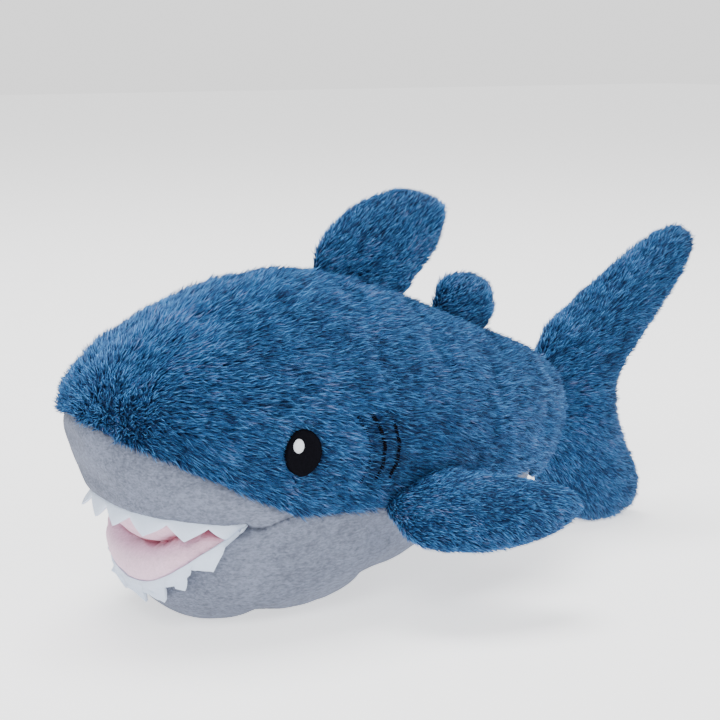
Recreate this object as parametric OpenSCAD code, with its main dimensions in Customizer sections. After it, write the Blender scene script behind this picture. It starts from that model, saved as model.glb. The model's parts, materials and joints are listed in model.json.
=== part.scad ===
// Stuffed shark: a long-pile back, short-pile belly and snout, a padded open
// mouth with felt teeth, and padded fins sewn on along their seams.
// It rests on its belly at z = 0 and faces -Y. Millimetres, +Z up.

/* [Body] */
// Length of the body from the nose to the seam that holds the tail
body_length = 222; // [185:1:267]
// Width of the body behind the eyes
body_width = 96; // [80:1:116]
// Height of the back above the floor
body_height = 125.5; // [104:0.5:151]
// Roundness of the belly, 1 for an ellipse and less for a squarer one
belly_roundness = 0.88; // [0.75:0.01:1]

/* [Fabric] */
// Thickness of the plush panels
skin = 2; // [1.5:0.1:2.5]
// Gap between a panel and the stuffing behind it
fill_ease = 0.4; // [0.3:0.1:0.8]
// Half the gap between two panels at a seam
seam_ease = 0.3; // [0.2:0.05:0.5]
// Thickness of the felt teeth
felt = 1.6; // [1.2:0.1:2]
// Height of the embroidered threads above the fabric
thread = 0.9; // [0.6:0.1:1.4]

/* [Mouth] */
// Depth of the fold between the two mouth linings
mouth_depth = 5.5; // [4:0.5:7]
// Length of the longest upper teeth, from their seam
upper_tooth_length = 8; // [6.5:0.5:9.5]
// Length of the longest lower teeth, from their seam
lower_tooth_length = 11; // [9:0.5:13]
// Height of the felt that joins the upper teeth
upper_tooth_band = 2; // [1.5:0.5:3.5]
// Height of the felt that joins the lower teeth
lower_tooth_band = 4; // [3:0.5:5]
// Number of upper teeth
upper_tooth_count = 8; // [6:1:12]
// Number of lower teeth
lower_tooth_count = 8; // [6:1:12]
// Gap between the jaw and the head above it
jaw_gap = 3.2; // [3:0.1:4]

/* [Eyes and gills] */
// Width of an eye
eye_width = 15; // [12:0.5:17]
// Height of an eye
eye_height = 18; // [14:0.5:20]
// Width of the light spot in an eye
spot_width = 4.6; // [3:0.1:5]
// Height of each gill mark
gill_height = 24; // [18:1:28]
// Distance from one gill mark to the next
gill_step = 6.5; // [6:0.5:8]
// Width of the gill stitching
gill_width = 1.8; // [1.2:0.1:2.2]

/* [Fins] */
// Height of the large back fin above its seam
dorsal_height = 42; // [35:1:50]
// Greatest thickness of the large back fin
dorsal_thickness = 13; // [11:0.5:15]
// Height of the small back fin above its seam
rear_fin_height = 19.5; // [16:0.5:24]
// Greatest thickness of the small back fin
rear_fin_thickness = 10; // [8:0.5:12]
// Length of a side fin from its seam to its tip
side_fin_length = 46; // [38:1:56]
// Greatest thickness of a side fin
side_fin_thickness = 16; // [13:0.5:19]
// Gap between a fin and the body along its seam
fin_gap = 2.4; // [2:0.1:3]

/* [Tail] */
// Height of the tail from its lower to its upper tip
tail_height = 129; // [108:1:150]
// Length of the tail behind its seam
tail_length = 78.5; // [65.5:0.5:94]
// Greatest thickness of the tail
tail_thickness = 19; // [16:0.5:23]
// Gap between the tail and the body
tail_gap = 1.2; // [1:0.1:2]

/* [Hidden] */

blue = [0.20, 0.40, 0.62];
grey = [0.62, 0.63, 0.66];
pink = [0.88, 0.74, 0.79];
white = [0.88, 0.91, 0.95];
black = [0.05, 0.05, 0.06];
fibre = [0.93, 0.93, 0.90];

overall_length = body_length + tail_length;

// Columns of a body station: distance from the nose, half width, height of the
// back, height of the belly, height of the widest point, height of the border
// between the back and belly panels.
AT = 0;
HALF = 1;
TOP = 2;
BOTTOM = 3;
MID = 4;
BORDER = 5;

// The stations are drawn for this length, width and height, and stretched to
// the sizes above.
drawn_length = 222;
drawn_width = 96;
drawn_height = 125.5;
stretch = [body_length / drawn_length, body_width / drawn_width];
lift = body_height / drawn_height;
drawn_stations = [
    [0, 0, 83, 83, 83, 83],
    [4, 13.5, 92, 68, 82, 80],
    [13, 25, 100.5, 48, 78, 74.5],
    [24, 33, 108, 18, 74.5, 69.5],
    [41, 41.5, 116.5, 1, 68, 60],
    [64, 46.5, 123.5, -4, 62, 48],
    [88, 48, 125.5, -3.5, 59, 45],
    [112, 47, 122, 3.5, 56, 43],
    [136, 44, 113.5, 12.5, 54, 43],
    [158, 39.5, 104, 18, 54, 41],
    [180, 33.5, 94.5, 23.5, 55, 39.5],
    [199, 26, 87, 29, 56, 41.5],
    [212, 17.5, 79.5, 36, 57, 46],
    [219, 9.5, 73, 42, 58, 51],
    [222, 0, 68, 47, 58, 58]];
stations = [for (r = drawn_stations)
    [r[AT] * stretch[0], r[HALF] * stretch[1], r[TOP] * lift, r[BOTTOM] * lift,
        r[MID] * lift, r[BORDER] * lift]];
last_station = len(stations) - 1;

// Places along the body, counted in stations.
nose_start = 0.12;
upper_lip_front = 2;
lower_lip_front = 3;
mouth_corner = 4.5;
throat_bottom = 4.95;
border_tip = 5.2;

// Gap between the chin and belly panels, and the part of it that lies in the
// folds at the mouth's corners, in stations.
throat_gap = 0.16;
corner_fold = 0.06;

// Share of the snout panel's half length that runs along the lip.
lip_share = 0.84;
// Share of the belly panel's half front edge that runs along the throat, share
// of the cheek's seam that it leaves to the corner's fold, and its extra gap there.
throat_share = 0.8;
cheek_start = 0.31;
cheek_ease = 0.8;

// Heights of the two lips at the front and of the corner between them.
upper_lip_front_height = 48 * lift;
lower_lip_front_height = 19 * lift;
corner_height = 42 * lift;
// Where the fold of the mouth lies between the upper lip (0) and the lower (1).
fold_share = 0.56;
// Half the gap between the linings at the fold, as a share of the mouth's height.
jaw_share_gap = 0.055;
// Gap between a lining and the lip beside it, as a share of the mouth's height.
lip_gap = 0.03;

// Share of a tapered panel's length that is left before its pointed ends.
panel_end = 0.97;

// Gap between a lip's seam and the fabric above or below it, in stations.
lip_ease = 0.02;

// Steps of the curved surfaces, and the step in stations used for slopes.
fine = 28;
coarse = 12;
step = 0.05;

// ---- curves and surfaces

degrees_per_radian = 180 / PI;
function mix(a, b, t) = a + (b - a) * t;
function unit(v) = v / max(norm(v), 1e-6);
function curve(a, b, c, d, t) = 0.5 * (2 * b + (c - a) * t
    + (2 * a - 5 * b + 4 * c - d) * t * t + (3 * b - a - 3 * c + d) * t * t * t);
function power(t, e) = sign(t) * pow(abs(t), e);
function flip_x(p) = [-p.x, p.y, p.z];
function flip_grid(grid) = [for (line = grid) [for (p = line) flip_x(p)]];

// A station before the nose and one after the end, so that both ends are round.
function rounded(near, pole, odd) =
    [for (i = [0:len(near) - 1]) odd[i] ? 2 * pole[i] - near[i] : near[i]];
function station_row(i) =
    i < 0 ? rounded(stations[-i], stations[0], [false, true, true, true, true, true])
    : i > last_station ? rounded(stations[2 * last_station - i], stations[last_station],
        [false, true, false, false, false, false])
    : stations[i];
function station(k) = let (i = min(floor(k), last_station - 1))
    curve(station_row(i - 1), station_row(i), station_row(i + 1), station_row(i + 2), k - i);

// Point of the body's surface at station k and angle a: 0 is the left side,
// 90 the back and -90 the belly. It is flat where it meets the floor.
function on_body(k, a) = let (s = station(k), low = sin(a) < 0)
    [s[HALF] * (low ? power(cos(a), belly_roundness) : cos(a)),
        s[AT],
        max(0, low ? s[MID] - (s[MID] - s[BOTTOM]) * pow(-sin(a), belly_roundness)
            : s[MID] + (s[TOP] - s[MID]) * sin(a))];
function body_slope_along(k, a) = on_body(min(k + step, last_station), a) - on_body(k - step, a);
function body_slope_round(k, a) = on_body(k, a + 1) - on_body(k, a - 1);
function body_normal(k, a) = unit(cross(body_slope_along(k, a), body_slope_round(k, a)));
// The same point, moved into the body by depth.
function in_body(k, a, depth) = on_body(k, a) - depth * body_normal(k, a);

// Angle below the widest point at which the body's surface has height z.
function angle_at(k, z) = let (s = station(k),
        share = (s[MID] - z) / max(s[MID] - s[BOTTOM], 0.01))
    -asin(pow(min(max(share, 0), 1), 1 / belly_roundness));
function border_angle(k) = let (s = station(k)) angle_at(k, s[BORDER]);
// An edge moved along the surface by a seam's half gap, as an angle.
widest_ease = 8;
function ease_angle(k) = min(widest_ease, seam_ease * degrees_per_radian / max(station(k)[HALF], 1));

// ---- the mouth: v runs from one corner (-1) to the other (1), w from the
// upper lip (0) to the lower (1)

function upper_lip_k(v) = mix(upper_lip_front, mouth_corner, v * v);
function lower_lip_k(v) = mix(lower_lip_front, mouth_corner, v * v);
function upper_lip_angle(v) = let (k = upper_lip_k(v))
    angle_at(k, mix(upper_lip_front_height, corner_height, v * v));
function lower_lip_angle(v) = let (k = lower_lip_k(v))
    angle_at(k, mix(lower_lip_front_height, corner_height - 1, sin(90 * v * v)));
// The linings fold inwards, and the lower one swells like a tongue.
function lining_depth(v, w) = let (t = w < fold_share ? w / fold_share
        : (1 - w) / (1 - fold_share))
    mouth_depth * (1 - pow(v, 4)) * (w < fold_share ? sin(90 * t) : pow(t, 2.5));
function on_mouth(v, w, depth = 0) =
    let (k = mix(upper_lip_k(v), lower_lip_k(v), w),
        a = v == 0 ? -90 : mix(upper_lip_angle(v), lower_lip_angle(v), w),
        p = in_body(k, a, lining_depth(v, w) + depth))
    v < 0 ? flip_x(p) : p;
function throat_k(v) = mix(throat_bottom, mouth_corner + corner_fold, v * v);

// ---- solids from grids of points

function flat(grid) = [for (line = grid) for (p = line) p];
function quad(a, b, c, d) = [[a, b, c], [a, c, d]];

// A panel: an outer grid, an inner one of the same size, and a wall all round.
module panel(outer, inner) {
    rows = len(outer);
    cols = len(outer[0]);
    inside = rows * cols;
    function id(i, j) = i * cols + j;
    faces = concat(
        [for (i = [0:rows - 2]) for (j = [0:cols - 2])
            each quad(id(i, j), id(i, j + 1), id(i + 1, j + 1), id(i + 1, j))],
        [for (i = [0:rows - 2]) for (j = [0:cols - 2])
            each quad(inside + id(i, j), inside + id(i + 1, j),
                inside + id(i + 1, j + 1), inside + id(i, j + 1))],
        [for (i = [0:rows - 2]) each concat(
            quad(id(i, 0), id(i + 1, 0), inside + id(i + 1, 0), inside + id(i, 0)),
            quad(id(i + 1, cols - 1), id(i, cols - 1),
                inside + id(i, cols - 1), inside + id(i + 1, cols - 1)))],
        [for (j = [0:cols - 2]) each concat(
            quad(id(0, j + 1), id(0, j), inside + id(0, j), inside + id(0, j + 1)),
            quad(id(rows - 1, j), id(rows - 1, j + 1),
                inside + id(rows - 1, j + 1), inside + id(rows - 1, j)))]);
    polyhedron(concat(flat(outer), flat(inner)), faces);
}

// A filling: closed rings of points, with both ends closed on their middles.
module filling(rings) {
    rows = len(rings);
    cols = len(rings[0]);
    count = rows * cols;
    function id(i, j) = i * cols + j % cols;
    function middle(ring) = [for (p = ring) 1] * ring / len(ring);
    faces = concat(
        [for (i = [0:rows - 2]) for (j = [0:cols - 1])
            each quad(id(i, j), id(i, j + 1), id(i + 1, j + 1), id(i + 1, j))],
        [for (j = [0:cols - 1]) [count, id(0, j + 1), id(0, j)]],
        [for (j = [0:cols - 1]) [count + 1, id(rows - 1, j), id(rows - 1, j + 1)]]);
    polyhedron(concat(flat(rings), [middle(rings[0]), middle(rings[rows - 1])]), faces);
}

// Everything is drawn from the nose backwards and then centred.
module placed(shade) {
    color(shade) translate([0, -overall_length / 2, 0]) children();
}

// ---- body

function body_grid(depth, rows = fine, cols = coarse) =
    [for (i = [0:rows]) let (k = mix(nose_start, last_station, i / rows))
        [for (j = [0:cols])
            in_body(k, mix(90 - ease_angle(k), border_angle(k) + ease_angle(k), j / cols),
                depth)]];

module back_panel_left() {
    placed(blue) panel(body_grid(skin), body_grid(0));
}

module back_panel_right() {
    placed(blue) panel(flip_grid(body_grid(0)), flip_grid(body_grid(skin)));
}

// The seam from the mouth's corner back to the tip of the border.
function cheek_seam(t) = mix([mouth_corner, upper_lip_angle(1)],
    [border_tip, border_angle(border_tip)], t);

// Half of the snout panel: v is 0 at the nose and 1 at the tip of the border.
function snout_edge(v) = v < lip_share
    ? let (u = v / lip_share) [upper_lip_k(u), u == 0 ? -90 : upper_lip_angle(u)]
    : cheek_seam((v - lip_share) / (1 - lip_share)) + [0, ease_angle(mouth_corner)];
function snout_point(v, t, depth) =
    let (u = abs(v), k = mix(nose_start, border_tip, u), edge = snout_edge(u),
        top = [k, border_angle(k) - ease_angle(k)],
        place = mix(top, edge - [lip_ease, 0], t),
        p = in_body(place[0], place[1], depth))
    v < 0 ? flip_x(p) : p;
function snout_grid(depth, rows = 22, cols = 6) =
    [for (i = [-rows:rows]) [for (j = [0:cols])
        snout_point(panel_end * i / rows, j / cols, depth)]];

module snout_panel() {
    placed(grey) panel(snout_grid(skin), snout_grid(0));
}

function mouth_grid(low, high, depth, rows = 18, cols = 5) =
    [for (i = [-rows:rows]) [for (j = [0:cols])
        on_mouth(panel_end * i / rows, mix(low, high, j / cols), depth)]];

module mouth_roof_lining() {
    placed(pink) panel(mouth_grid(lip_gap, fold_share - jaw_share_gap, skin),
        mouth_grid(lip_gap, fold_share - jaw_share_gap, 0));
}

module mouth_floor_lining() {
    placed(pink) panel(mouth_grid(fold_share + jaw_share_gap, 1 - lip_gap, skin),
        mouth_grid(fold_share + jaw_share_gap, 1 - lip_gap, 0));
}

// Front edge of the belly panel: f is 0 in the middle and 1 at the border.
function belly_edge(f) = f < throat_share
    ? let (v = f / throat_share) [throat_k(v) + throat_gap, v == 0 ? -90 : lower_lip_angle(v)]
    : cheek_seam(mix(cheek_start, 1, (f - throat_share) / (1 - throat_share)))
        - [0, ease_angle(mouth_corner) + cheek_ease];
function belly_point(f, t, depth) =
    let (u = abs(f), edge = belly_edge(u), k = mix(edge[0], last_station - 0.3, t),
        low = border_angle(k) - ease_angle(k),
        front = (edge[1] + 90) / (border_angle(edge[0]) + 90),
        share = mix(front, u, t),
        p = in_body(k, mix(-90, low, share), depth))
    f < 0 ? flip_x(p) : p;
function belly_grid(depth, rows = 20, cols = 9) =
    [for (j = [-cols:cols]) [for (i = [0:rows]) belly_point(j / cols, i / rows, depth)]];

module belly_panel() {
    placed(grey) panel(belly_grid(skin), belly_grid(0));
}

// Head and body are one filling. Over the mouth its rings stop above the jaw.
fill_depth = skin + fill_ease;
head_floor = mouth_depth + skin + fill_ease;
corner_y = station(mouth_corner)[AT];
throat_y = station(throat_bottom)[AT];
jaw_plane_slope = 0.2;
jaw_crown_slope = 0.15;
throat_ease = 3;
belly_ease = 1;
// Height of the jaw's top plane, and of the throat behind it, at y.
function jaw_plane(y) = corner_height - (corner_y - y) * jaw_plane_slope;
function throat_height(y) = y < corner_y ? jaw_plane(y)
    : mix(corner_height, 0, min(1, (y - corner_y) / (throat_y - corner_y)));
function fill_point(k, a) =
    let (front = max(0, min(1, throat_bottom + 0.4 - k)),
        under = min(1, max(0, -2.2 * sin(a))),
        p = in_body(k, a, fill_depth + (mouth_depth * front + belly_ease) * under))
    [p.x, p.y, max(p.z, throat_height(p.y - throat_ease) + jaw_gap, skin + fill_ease)];

module body_stuffing() {
    placed(fibre) filling([for (i = [0:fine]) let (k = mix(0.45, last_station - 0.35, i / fine))
        [for (j = [0:2 * coarse - 1]) fill_point(k, j * 180 / coarse)]]);
}

// ---- jaw

function chin_point(v, t, depth) =
    let (u = abs(v), k = mix(lower_lip_k(u) + lip_ease, throat_k(u), t),
        a = u == 0 ? -90 : lower_lip_angle(u),
        p = in_body(k, a, depth))
    v < 0 ? flip_x(p) : p;
function chin_grid(depth, rows = 18, cols = 8) =
    [for (i = [-rows:rows]) [for (j = [0:cols])
        chin_point(panel_end * i / rows, j / cols, depth)]];

module chin_panel() {
    placed(grey) panel(chin_grid(skin), chin_grid(0));
}

// The jaw's filling in flat sections: a lid with a low crown, closed by the
// curve of the chin, which lies deeper where the chin slopes.
jaw_inset = head_floor * 1.2;
function jaw_ring(k, lid_steps = 6, arc_steps = 16) =
    let (s = station(k), half = s[HALF] - jaw_inset, low = max(s[BOTTOM], 0) + jaw_inset,
        edge = throat_height(s[AT] + throat_ease) - jaw_gap - jaw_crown_slope * half,
        start = -asin(pow((s[MID] - edge) / (s[MID] - low), 1 / belly_roundness)),
        width = half * power(cos(start), belly_roundness))
    concat(
        [for (j = [0:lid_steps - 1]) let (x = width * (1 - 2 * j / lid_steps))
            [x, s[AT], edge + jaw_crown_slope * (width - abs(x))]],
        [for (j = [0:arc_steps - 1]) let (a = mix(-180 - start, start, j / arc_steps))
            [half * power(cos(a), belly_roundness), s[AT],
                s[MID] - (s[MID] - low) * pow(-sin(a), belly_roundness)]]);

module jaw_stuffing() {
    placed(fibre) filling([for (i = [0:coarse])
        jaw_ring(mix(lower_lip_front + 0.5, throat_bottom - 0.45, i / coarse))]);
}

// ---- teeth: a felt band along a lip, with pointed teeth between two plain ends

// Shares of a lip's half length that the felt and its teeth take up.
felt_span = 0.95;
upper_teeth_span = 0.92;
lower_teeth_span = 0.83;
felt_ease = 0.6;

// Length of the felt at place v. row is [count, length, band, span of the teeth].
function tooth_reach(v, row) =
    let (phase = (v / row[3] + 1) / 2 * row[0],
        saw = abs(v) < row[3] - 0.001 ? 1 - abs(2 * (phase - floor(phase)) - 1) : 0,
        size = 1 - 0.5 * pow(abs(v), 3))
    (row[2] + (row[1] - row[2]) * saw) * size;

// Upper teeth hang from the lip and stand out a little.
function upper_tooth_point(v, reach, depth, spread = 0.35) =
    let (root = on_mouth(v, 0, 0), k = upper_lip_k(v), out = body_normal(k, -20),
        side = v < 0 ? flip_x(out) : out,
        down = unit([side.x * spread, side.y * spread, -1]),
        away = unit([side.x, side.y, spread]))
    root + away * (felt + felt_ease - depth) + down * reach;

// Lower teeth lie over the chin. Between two stations the chin is about 24 long.
chin_step = 24;
function lower_tooth_point(v, reach, depth) =
    let (u = abs(v), k = lower_lip_k(u), a = u == 0 ? -90 : lower_lip_angle(u),
        drop = reach / chin_step,
        p = in_body(k + drop * (1 - 0.3 * u), a - 39 * u * drop, depth - felt_ease - felt))
    v < 0 ? flip_x(p) : p;

module tooth_row(row, upper) {
    steps = row[0] * 2;
    vs = concat([-felt_span], [for (i = [0:steps]) row[3] * (2 * i / steps - 1)], [felt_span]);
    function at(v, share, depth) = let (reach = tooth_reach(v, row) * share)
        upper ? upper_tooth_point(v, reach, depth) : lower_tooth_point(v, reach, depth);
    outer = [for (v = vs) [for (share = [0, 0.5, 1]) at(v, share, 0)]];
    inner = [for (v = vs) [for (share = [0, 0.5, 1]) at(v, share, felt)]];
    panel(inner, outer);
}

module upper_teeth() {
    placed(white) tooth_row(
        [upper_tooth_count, upper_tooth_length, upper_tooth_band, upper_teeth_span], true);
}

module lower_teeth() {
    placed(white) tooth_row(
        [lower_tooth_count, lower_tooth_length, lower_tooth_band, lower_teeth_span], false);
}

// ---- embroidery

// Station at which the body's surface is y from the nose.
function station_at(y, low = 0, high = last_station) =
    high - low < 0.002 ? (low + high) / 2
    : let (k = (low + high) / 2) station(k)[AT] < y ? station_at(y, k, high)
        : station_at(y, low, k);

eye_at = [68.5 * stretch[0], 69.5 * lift];
gill_at = [98 * stretch[0], 67 * lift];

// Angle of the body's surface at station k and height z, above or below.
function side_angle(k, z) = let (s = station(k))
    z > s[MID] ? asin(min(1, (z - s[MID]) / (s[TOP] - s[MID]))) : angle_at(k, z);

// A stitched oval: centre in station and angle, half sizes along and across.
function oval_point(k, a, along, across, r, turn, out) =
    let (dk = along * r * cos(turn) * 2 * step / norm(body_slope_along(k, a)),
        da = across * r * sin(turn) * 2 / norm(body_slope_round(k, a)))
    in_body(k + dk, a + da, -out);

module stitched_oval(k, a, along, across, low, high) {
    turns = 24;
    rims = [[1, low], [1, mix(low, high, 0.6)], [0.86, high], [0.5, high], [0.12, high]];
    bottoms = [[0.12, low], [0.6, low]];
    filling([for (ring = concat(bottoms, rims)) [for (j = [0:turns - 1])
        oval_point(k, a, along, across, ring[0], -j * 360 / turns, ring[1])]]);
}

eye_base = 0.25;
module eye(mirrored) {
    k = station_at(eye_at[0]);
    mirror([mirrored ? 1 : 0, 0, 0])
        stitched_oval(k, side_angle(k, eye_at[1]), eye_width / 2, eye_height / 2,
            eye_base, eye_base + thread);
}

module eye_spot(mirrored) {
    place = eye_at + [-0.17 * eye_width, 0.15 * eye_height];
    k = station_at(place[0]);
    base = eye_base + thread + 0.15;
    mirror([mirrored ? 1 : 0, 0, 0])
        stitched_oval(k, side_angle(k, place[1]), spot_width / 2, spot_width * 0.6,
            base, base + 0.5);
}

module eye_left() {
    placed(black) eye(false);
}

module eye_right() {
    placed(black) eye(true);
}

module eye_spot_left() {
    placed(white) eye_spot(false);
}

module eye_spot_right() {
    placed(white) eye_spot(true);
}

// Three curved rows of stitches, each row in separate short bars.
module gill_row(y) {
    bars = 4;
    bow = 4;
    function place(t, side, out) =
        let (z = gill_at[1] + gill_height * (0.5 - t),
            k = station_at(y + bow * sin(180 * t) + side * gill_width / 2))
        in_body(k, side_angle(k, z), -out);
    for (i = [0:bars - 1]) {
        ts = [for (j = [0:2]) (i + 0.06 + 0.88 * j / 2) / bars];
        panel([for (t = ts) [for (side = [-1, 1]) place(t, side, eye_base + thread)]],
            [for (t = ts) [for (side = [-1, 1]) place(t, side, eye_base)]]);
    }
}

module gills(mirrored) {
    mirror([mirrored ? 1 : 0, 0, 0])
        for (i = [-1:1]) gill_row(gill_at[0] + i * gill_step);
}

module gill_stitches_left() {
    placed(black) gills(false);
}

module gill_stitches_right() {
    placed(black) gills(true);
}

// Hand stitches that close the opening for the stuffing, over the belly seam.
module hand_stitch(k) {
    half_span = 2.4;
    half_thread = 0.5;
    turn = half_span * degrees_per_radian / station(k)[HALF];
    side = half_thread * 2 * step / norm(body_slope_along(k, border_angle(k)));
    function place(t, s, out) = in_body(k + s * side, border_angle(k) + t * turn, -out);
    panel([for (s = [-1, 1]) [for (t = [1, 0, -1]) place(t, s, eye_base)]],
        [for (s = [-1, 1]) [for (t = [1, 0, -1]) place(t, s, eye_base + 0.5)]]);
}

module closing_stitches() {
    count = 9;
    first = 8.3;
    spacing = 0.24;
    placed(grey) mirror([1, 0, 0])
        for (i = [0:count - 1]) hand_stitch(first + i * spacing);
}

// ---- fins: rows of [share of the height, front edge, rear edge, half thickness
// share], closed in a point at the last row

function fin_row(rows, i) = let (last = len(rows) - 1)
    i < 0 ? 2 * rows[0] - rows[1]
    : i > last ? let (near = rows[2 * last - i], pole = rows[last])
        [near[0], 2 * pole[1] - near[1], 2 * pole[2] - near[2], -near[3]]
    : rows[i];
function fin_station(rows, k) = let (i = min(floor(k), len(rows) - 2))
    curve(fin_row(rows, i - 1), fin_row(rows, i), fin_row(rows, i + 1),
        fin_row(rows, i + 2), k - i);

// Point of a fin's section: a is 0 at the front edge, 90 on one face and 180 at
// the rear edge. frame is [front of the seam, rear of the seam, height, thickness].
function fin_point(rows, frame, k, a, depth) =
    let (r = fin_station(rows, k), along = frame[1] - frame[0],
        front = frame[0] + along * r[1] + frame[2] * r[0],
        rear = frame[0] + along * r[2] + frame[2] * r[0],
        middle = (front + rear) / 2, reach = (front - rear) / 2,
        thick = frame[3] * r[3] / 2,
        long_half = max(norm(reach) - depth, least_half),
        thick_half = max(norm(thick) - depth, least_half))
    middle + unit(reach) * long_half * cos(a) + unit(frame[3]) * thick_half * sin(a);

fin_tip_cut = 0.12;
// The same point of a surface that lies deeper, moved in from root and tip too.
function fin_inner(rows, frame, k, a, depth) =
    fin_point(rows, frame, k, a, depth)
        + unit(frame[2]) * depth * (1 - 2 * k / (len(rows) - 1 - fin_tip_cut));
// Smallest half size of a fin's filling, where its edge is thin.
least_half = 0.15;
function fin_grid(rows, frame, from, to, depth, lines, cols = 10) =
    let (last = len(rows) - 1)
    [for (i = [0:lines]) let (k = mix(0, last - fin_tip_cut, i / lines))
        [for (j = [0:cols])
            fin_inner(rows, frame, k, mix(from, to, j / cols), depth)]];

module fin_cover(rows, frame, side, lines) {
    ease = 2;
    from = side > 0 ? ease : -180 + ease;
    to = side > 0 ? 180 - ease : -ease;
    panel(fin_grid(rows, frame, to, from, 0, lines),
        fin_grid(rows, frame, to, from, skin * 0.8, lines));
}

module fin_filling(rows, frame, lines) {
    depth = skin * 0.8 + fill_ease;
    last = len(rows) - 1;
    cols = 16;
    filling([for (i = [0:lines]) let (k = mix(0.35, last - 0.5, i / lines))
        [for (j = [0:cols - 1]) fin_inner(rows, frame, k, -j * 360 / cols, depth)]]);
}

dorsal_rows = [
    [0, 0, 1, 0.3],
    [0.19, 0.04, 1.12, 0.8],
    [0.38, 0.17, 1.25, 1],
    [0.57, 0.34, 1.37, 0.95],
    [0.74, 0.54, 1.44, 0.82],
    [0.87, 0.76, 1.48, 0.66],
    [0.95, 0.94, 1.45, 0.46],
    [1, 1.22, 1.22, 0]];
dorsal_seam = [103, 144];
rear_fin_rows = [
    [0, 0, 1, 0.3],
    [0.28, 0.02, 1.04, 0.85],
    [0.56, 0.08, 1.06, 1],
    [0.78, 0.24, 1.04, 0.8],
    [0.92, 0.42, 0.94, 0.5],
    [1, 0.7, 0.7, 0]];
rear_fin_seam = [161, 187];

// A fin on the back, on the line of its seam.
function back_point(y) = let (k = station_at(y * stretch[0]))
    on_body(k, 90) + [0, 0, fin_gap];
function back_frame(seam, height, thickness) =
    [back_point(seam[0]), back_point(seam[1]), [0, 0, height], [thickness, 0, 0]];
dorsal_frame = back_frame(dorsal_seam, dorsal_height, dorsal_thickness);
rear_fin_frame = back_frame(rear_fin_seam, rear_fin_height, rear_fin_thickness);

module dorsal_fin_left() {
    placed(blue) fin_cover(dorsal_rows, dorsal_frame, 1, 14);
}

module dorsal_fin_right() {
    placed(blue) fin_cover(dorsal_rows, dorsal_frame, -1, 14);
}

module dorsal_fin_stuffing() {
    placed(fibre) fin_filling(dorsal_rows, dorsal_frame, 10);
}

module rear_fin_left() {
    placed(blue) fin_cover(rear_fin_rows, rear_fin_frame, 1, 10);
}

module rear_fin_right() {
    placed(blue) fin_cover(rear_fin_rows, rear_fin_frame, -1, 10);
}

module rear_fin_stuffing() {
    placed(fibre) fin_filling(rear_fin_rows, rear_fin_frame, 8);
}

// The tail stands upright: its rows run from the lower tip to the upper one,
// with the edges as distances behind its seam.
tail_rows = [
    [0, 0.387, 0.387, 0],
    [0.022, 0.204, 0.581, 0.5],
    [0.075, 0.112, 0.647, 0.75],
    [0.16, 0.041, 0.622, 0.88],
    [0.27, 0, 0.525, 0.95],
    [0.38, 0, 0.459, 1],
    [0.49, 0, 0.448, 1],
    [0.57, 0, 0.535, 0.98],
    [0.635, -0.051, 0.632, 0.93],
    [0.69, -0.041, 0.714, 0.9],
    [0.75, 0.092, 0.795, 0.86],
    [0.81, 0.255, 0.877, 0.82],
    [0.87, 0.418, 0.948, 0.76],
    [0.93, 0.591, 0.994, 0.66],
    [0.975, 0.734, 0.989, 0.46],
    [1, 0.856, 0.856, 0]];
tail_floor = 1;
tail_seam_y = body_length + tail_gap;

function tail_row(i) = let (last = len(tail_rows) - 1)
    i < 0 ? let (near = tail_rows[1], pole = tail_rows[0])
        [near[0], 2 * pole[1] - near[1], 2 * pole[2] - near[2], -near[3]]
    : fin_row(tail_rows, i);
function tail_station(k) = let (i = min(floor(k), len(tail_rows) - 2))
    curve(tail_row(i - 1), tail_row(i), tail_row(i + 1), tail_row(i + 2), k - i);
function tail_point(k, a, depth) =
    let (r = tail_station(k), span = overall_length - tail_seam_y,
        front = tail_seam_y + span * r[1], rear = tail_seam_y + span * r[2],
        thick = tail_thickness / 2 * r[3],
        reach = max((rear - front) / 2 - depth, least_half),
        rise = depth * (1 - 2 * k / (len(tail_rows) - 1)))
    [max(thick - depth, least_half) * sin(a), (front + rear) / 2 - reach * cos(a),
        tail_floor * lift + tail_height * r[0] + rise];

function tail_grid(side, depth, lines = 26, cols = 10) =
    let (last = len(tail_rows) - 1)
    [for (i = [0:lines]) let (k = mix(fin_tip_cut, last - fin_tip_cut, i / lines))
        [for (j = [0:cols]) tail_point(k, side * mix(178, 2, j / cols), depth)]];

module tail_panel_left() {
    placed(blue) panel(tail_grid(1, 0), tail_grid(1, skin));
}

module tail_panel_right() {
    placed(blue) panel(tail_grid(-1, skin), tail_grid(-1, 0));
}

module tail_stuffing() {
    lines = 18;
    cols = 16;
    last = len(tail_rows) - 1;
    placed(fibre) filling([for (i = [0:lines]) let (k = mix(0.8, last - 0.8, i / lines))
        [for (j = [0:cols - 1]) tail_point(k, -j * 360 / cols, fill_depth)]]);
}

// A side fin leaves the body's side just above the belly seam and sweeps back.
side_fin_rows = [
    [0, 0, 1, 0.3],
    [0.12, -0.12, 1.12, 0.75],
    [0.28, -0.27, 1.3, 0.96],
    [0.46, -0.28, 1.48, 1],
    [0.64, -0.12, 1.6, 0.95],
    [0.81, 0.18, 1.66, 0.82],
    [0.93, 0.58, 1.6, 0.6],
    [0.985, 0.9, 1.44, 0.34],
    [1, 1.18, 1.18, 0]];
side_fin_seam = [105, 132];
side_fin_height = 46;
side_fin_droop = 18;
side_fin_sweep = 30;

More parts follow.
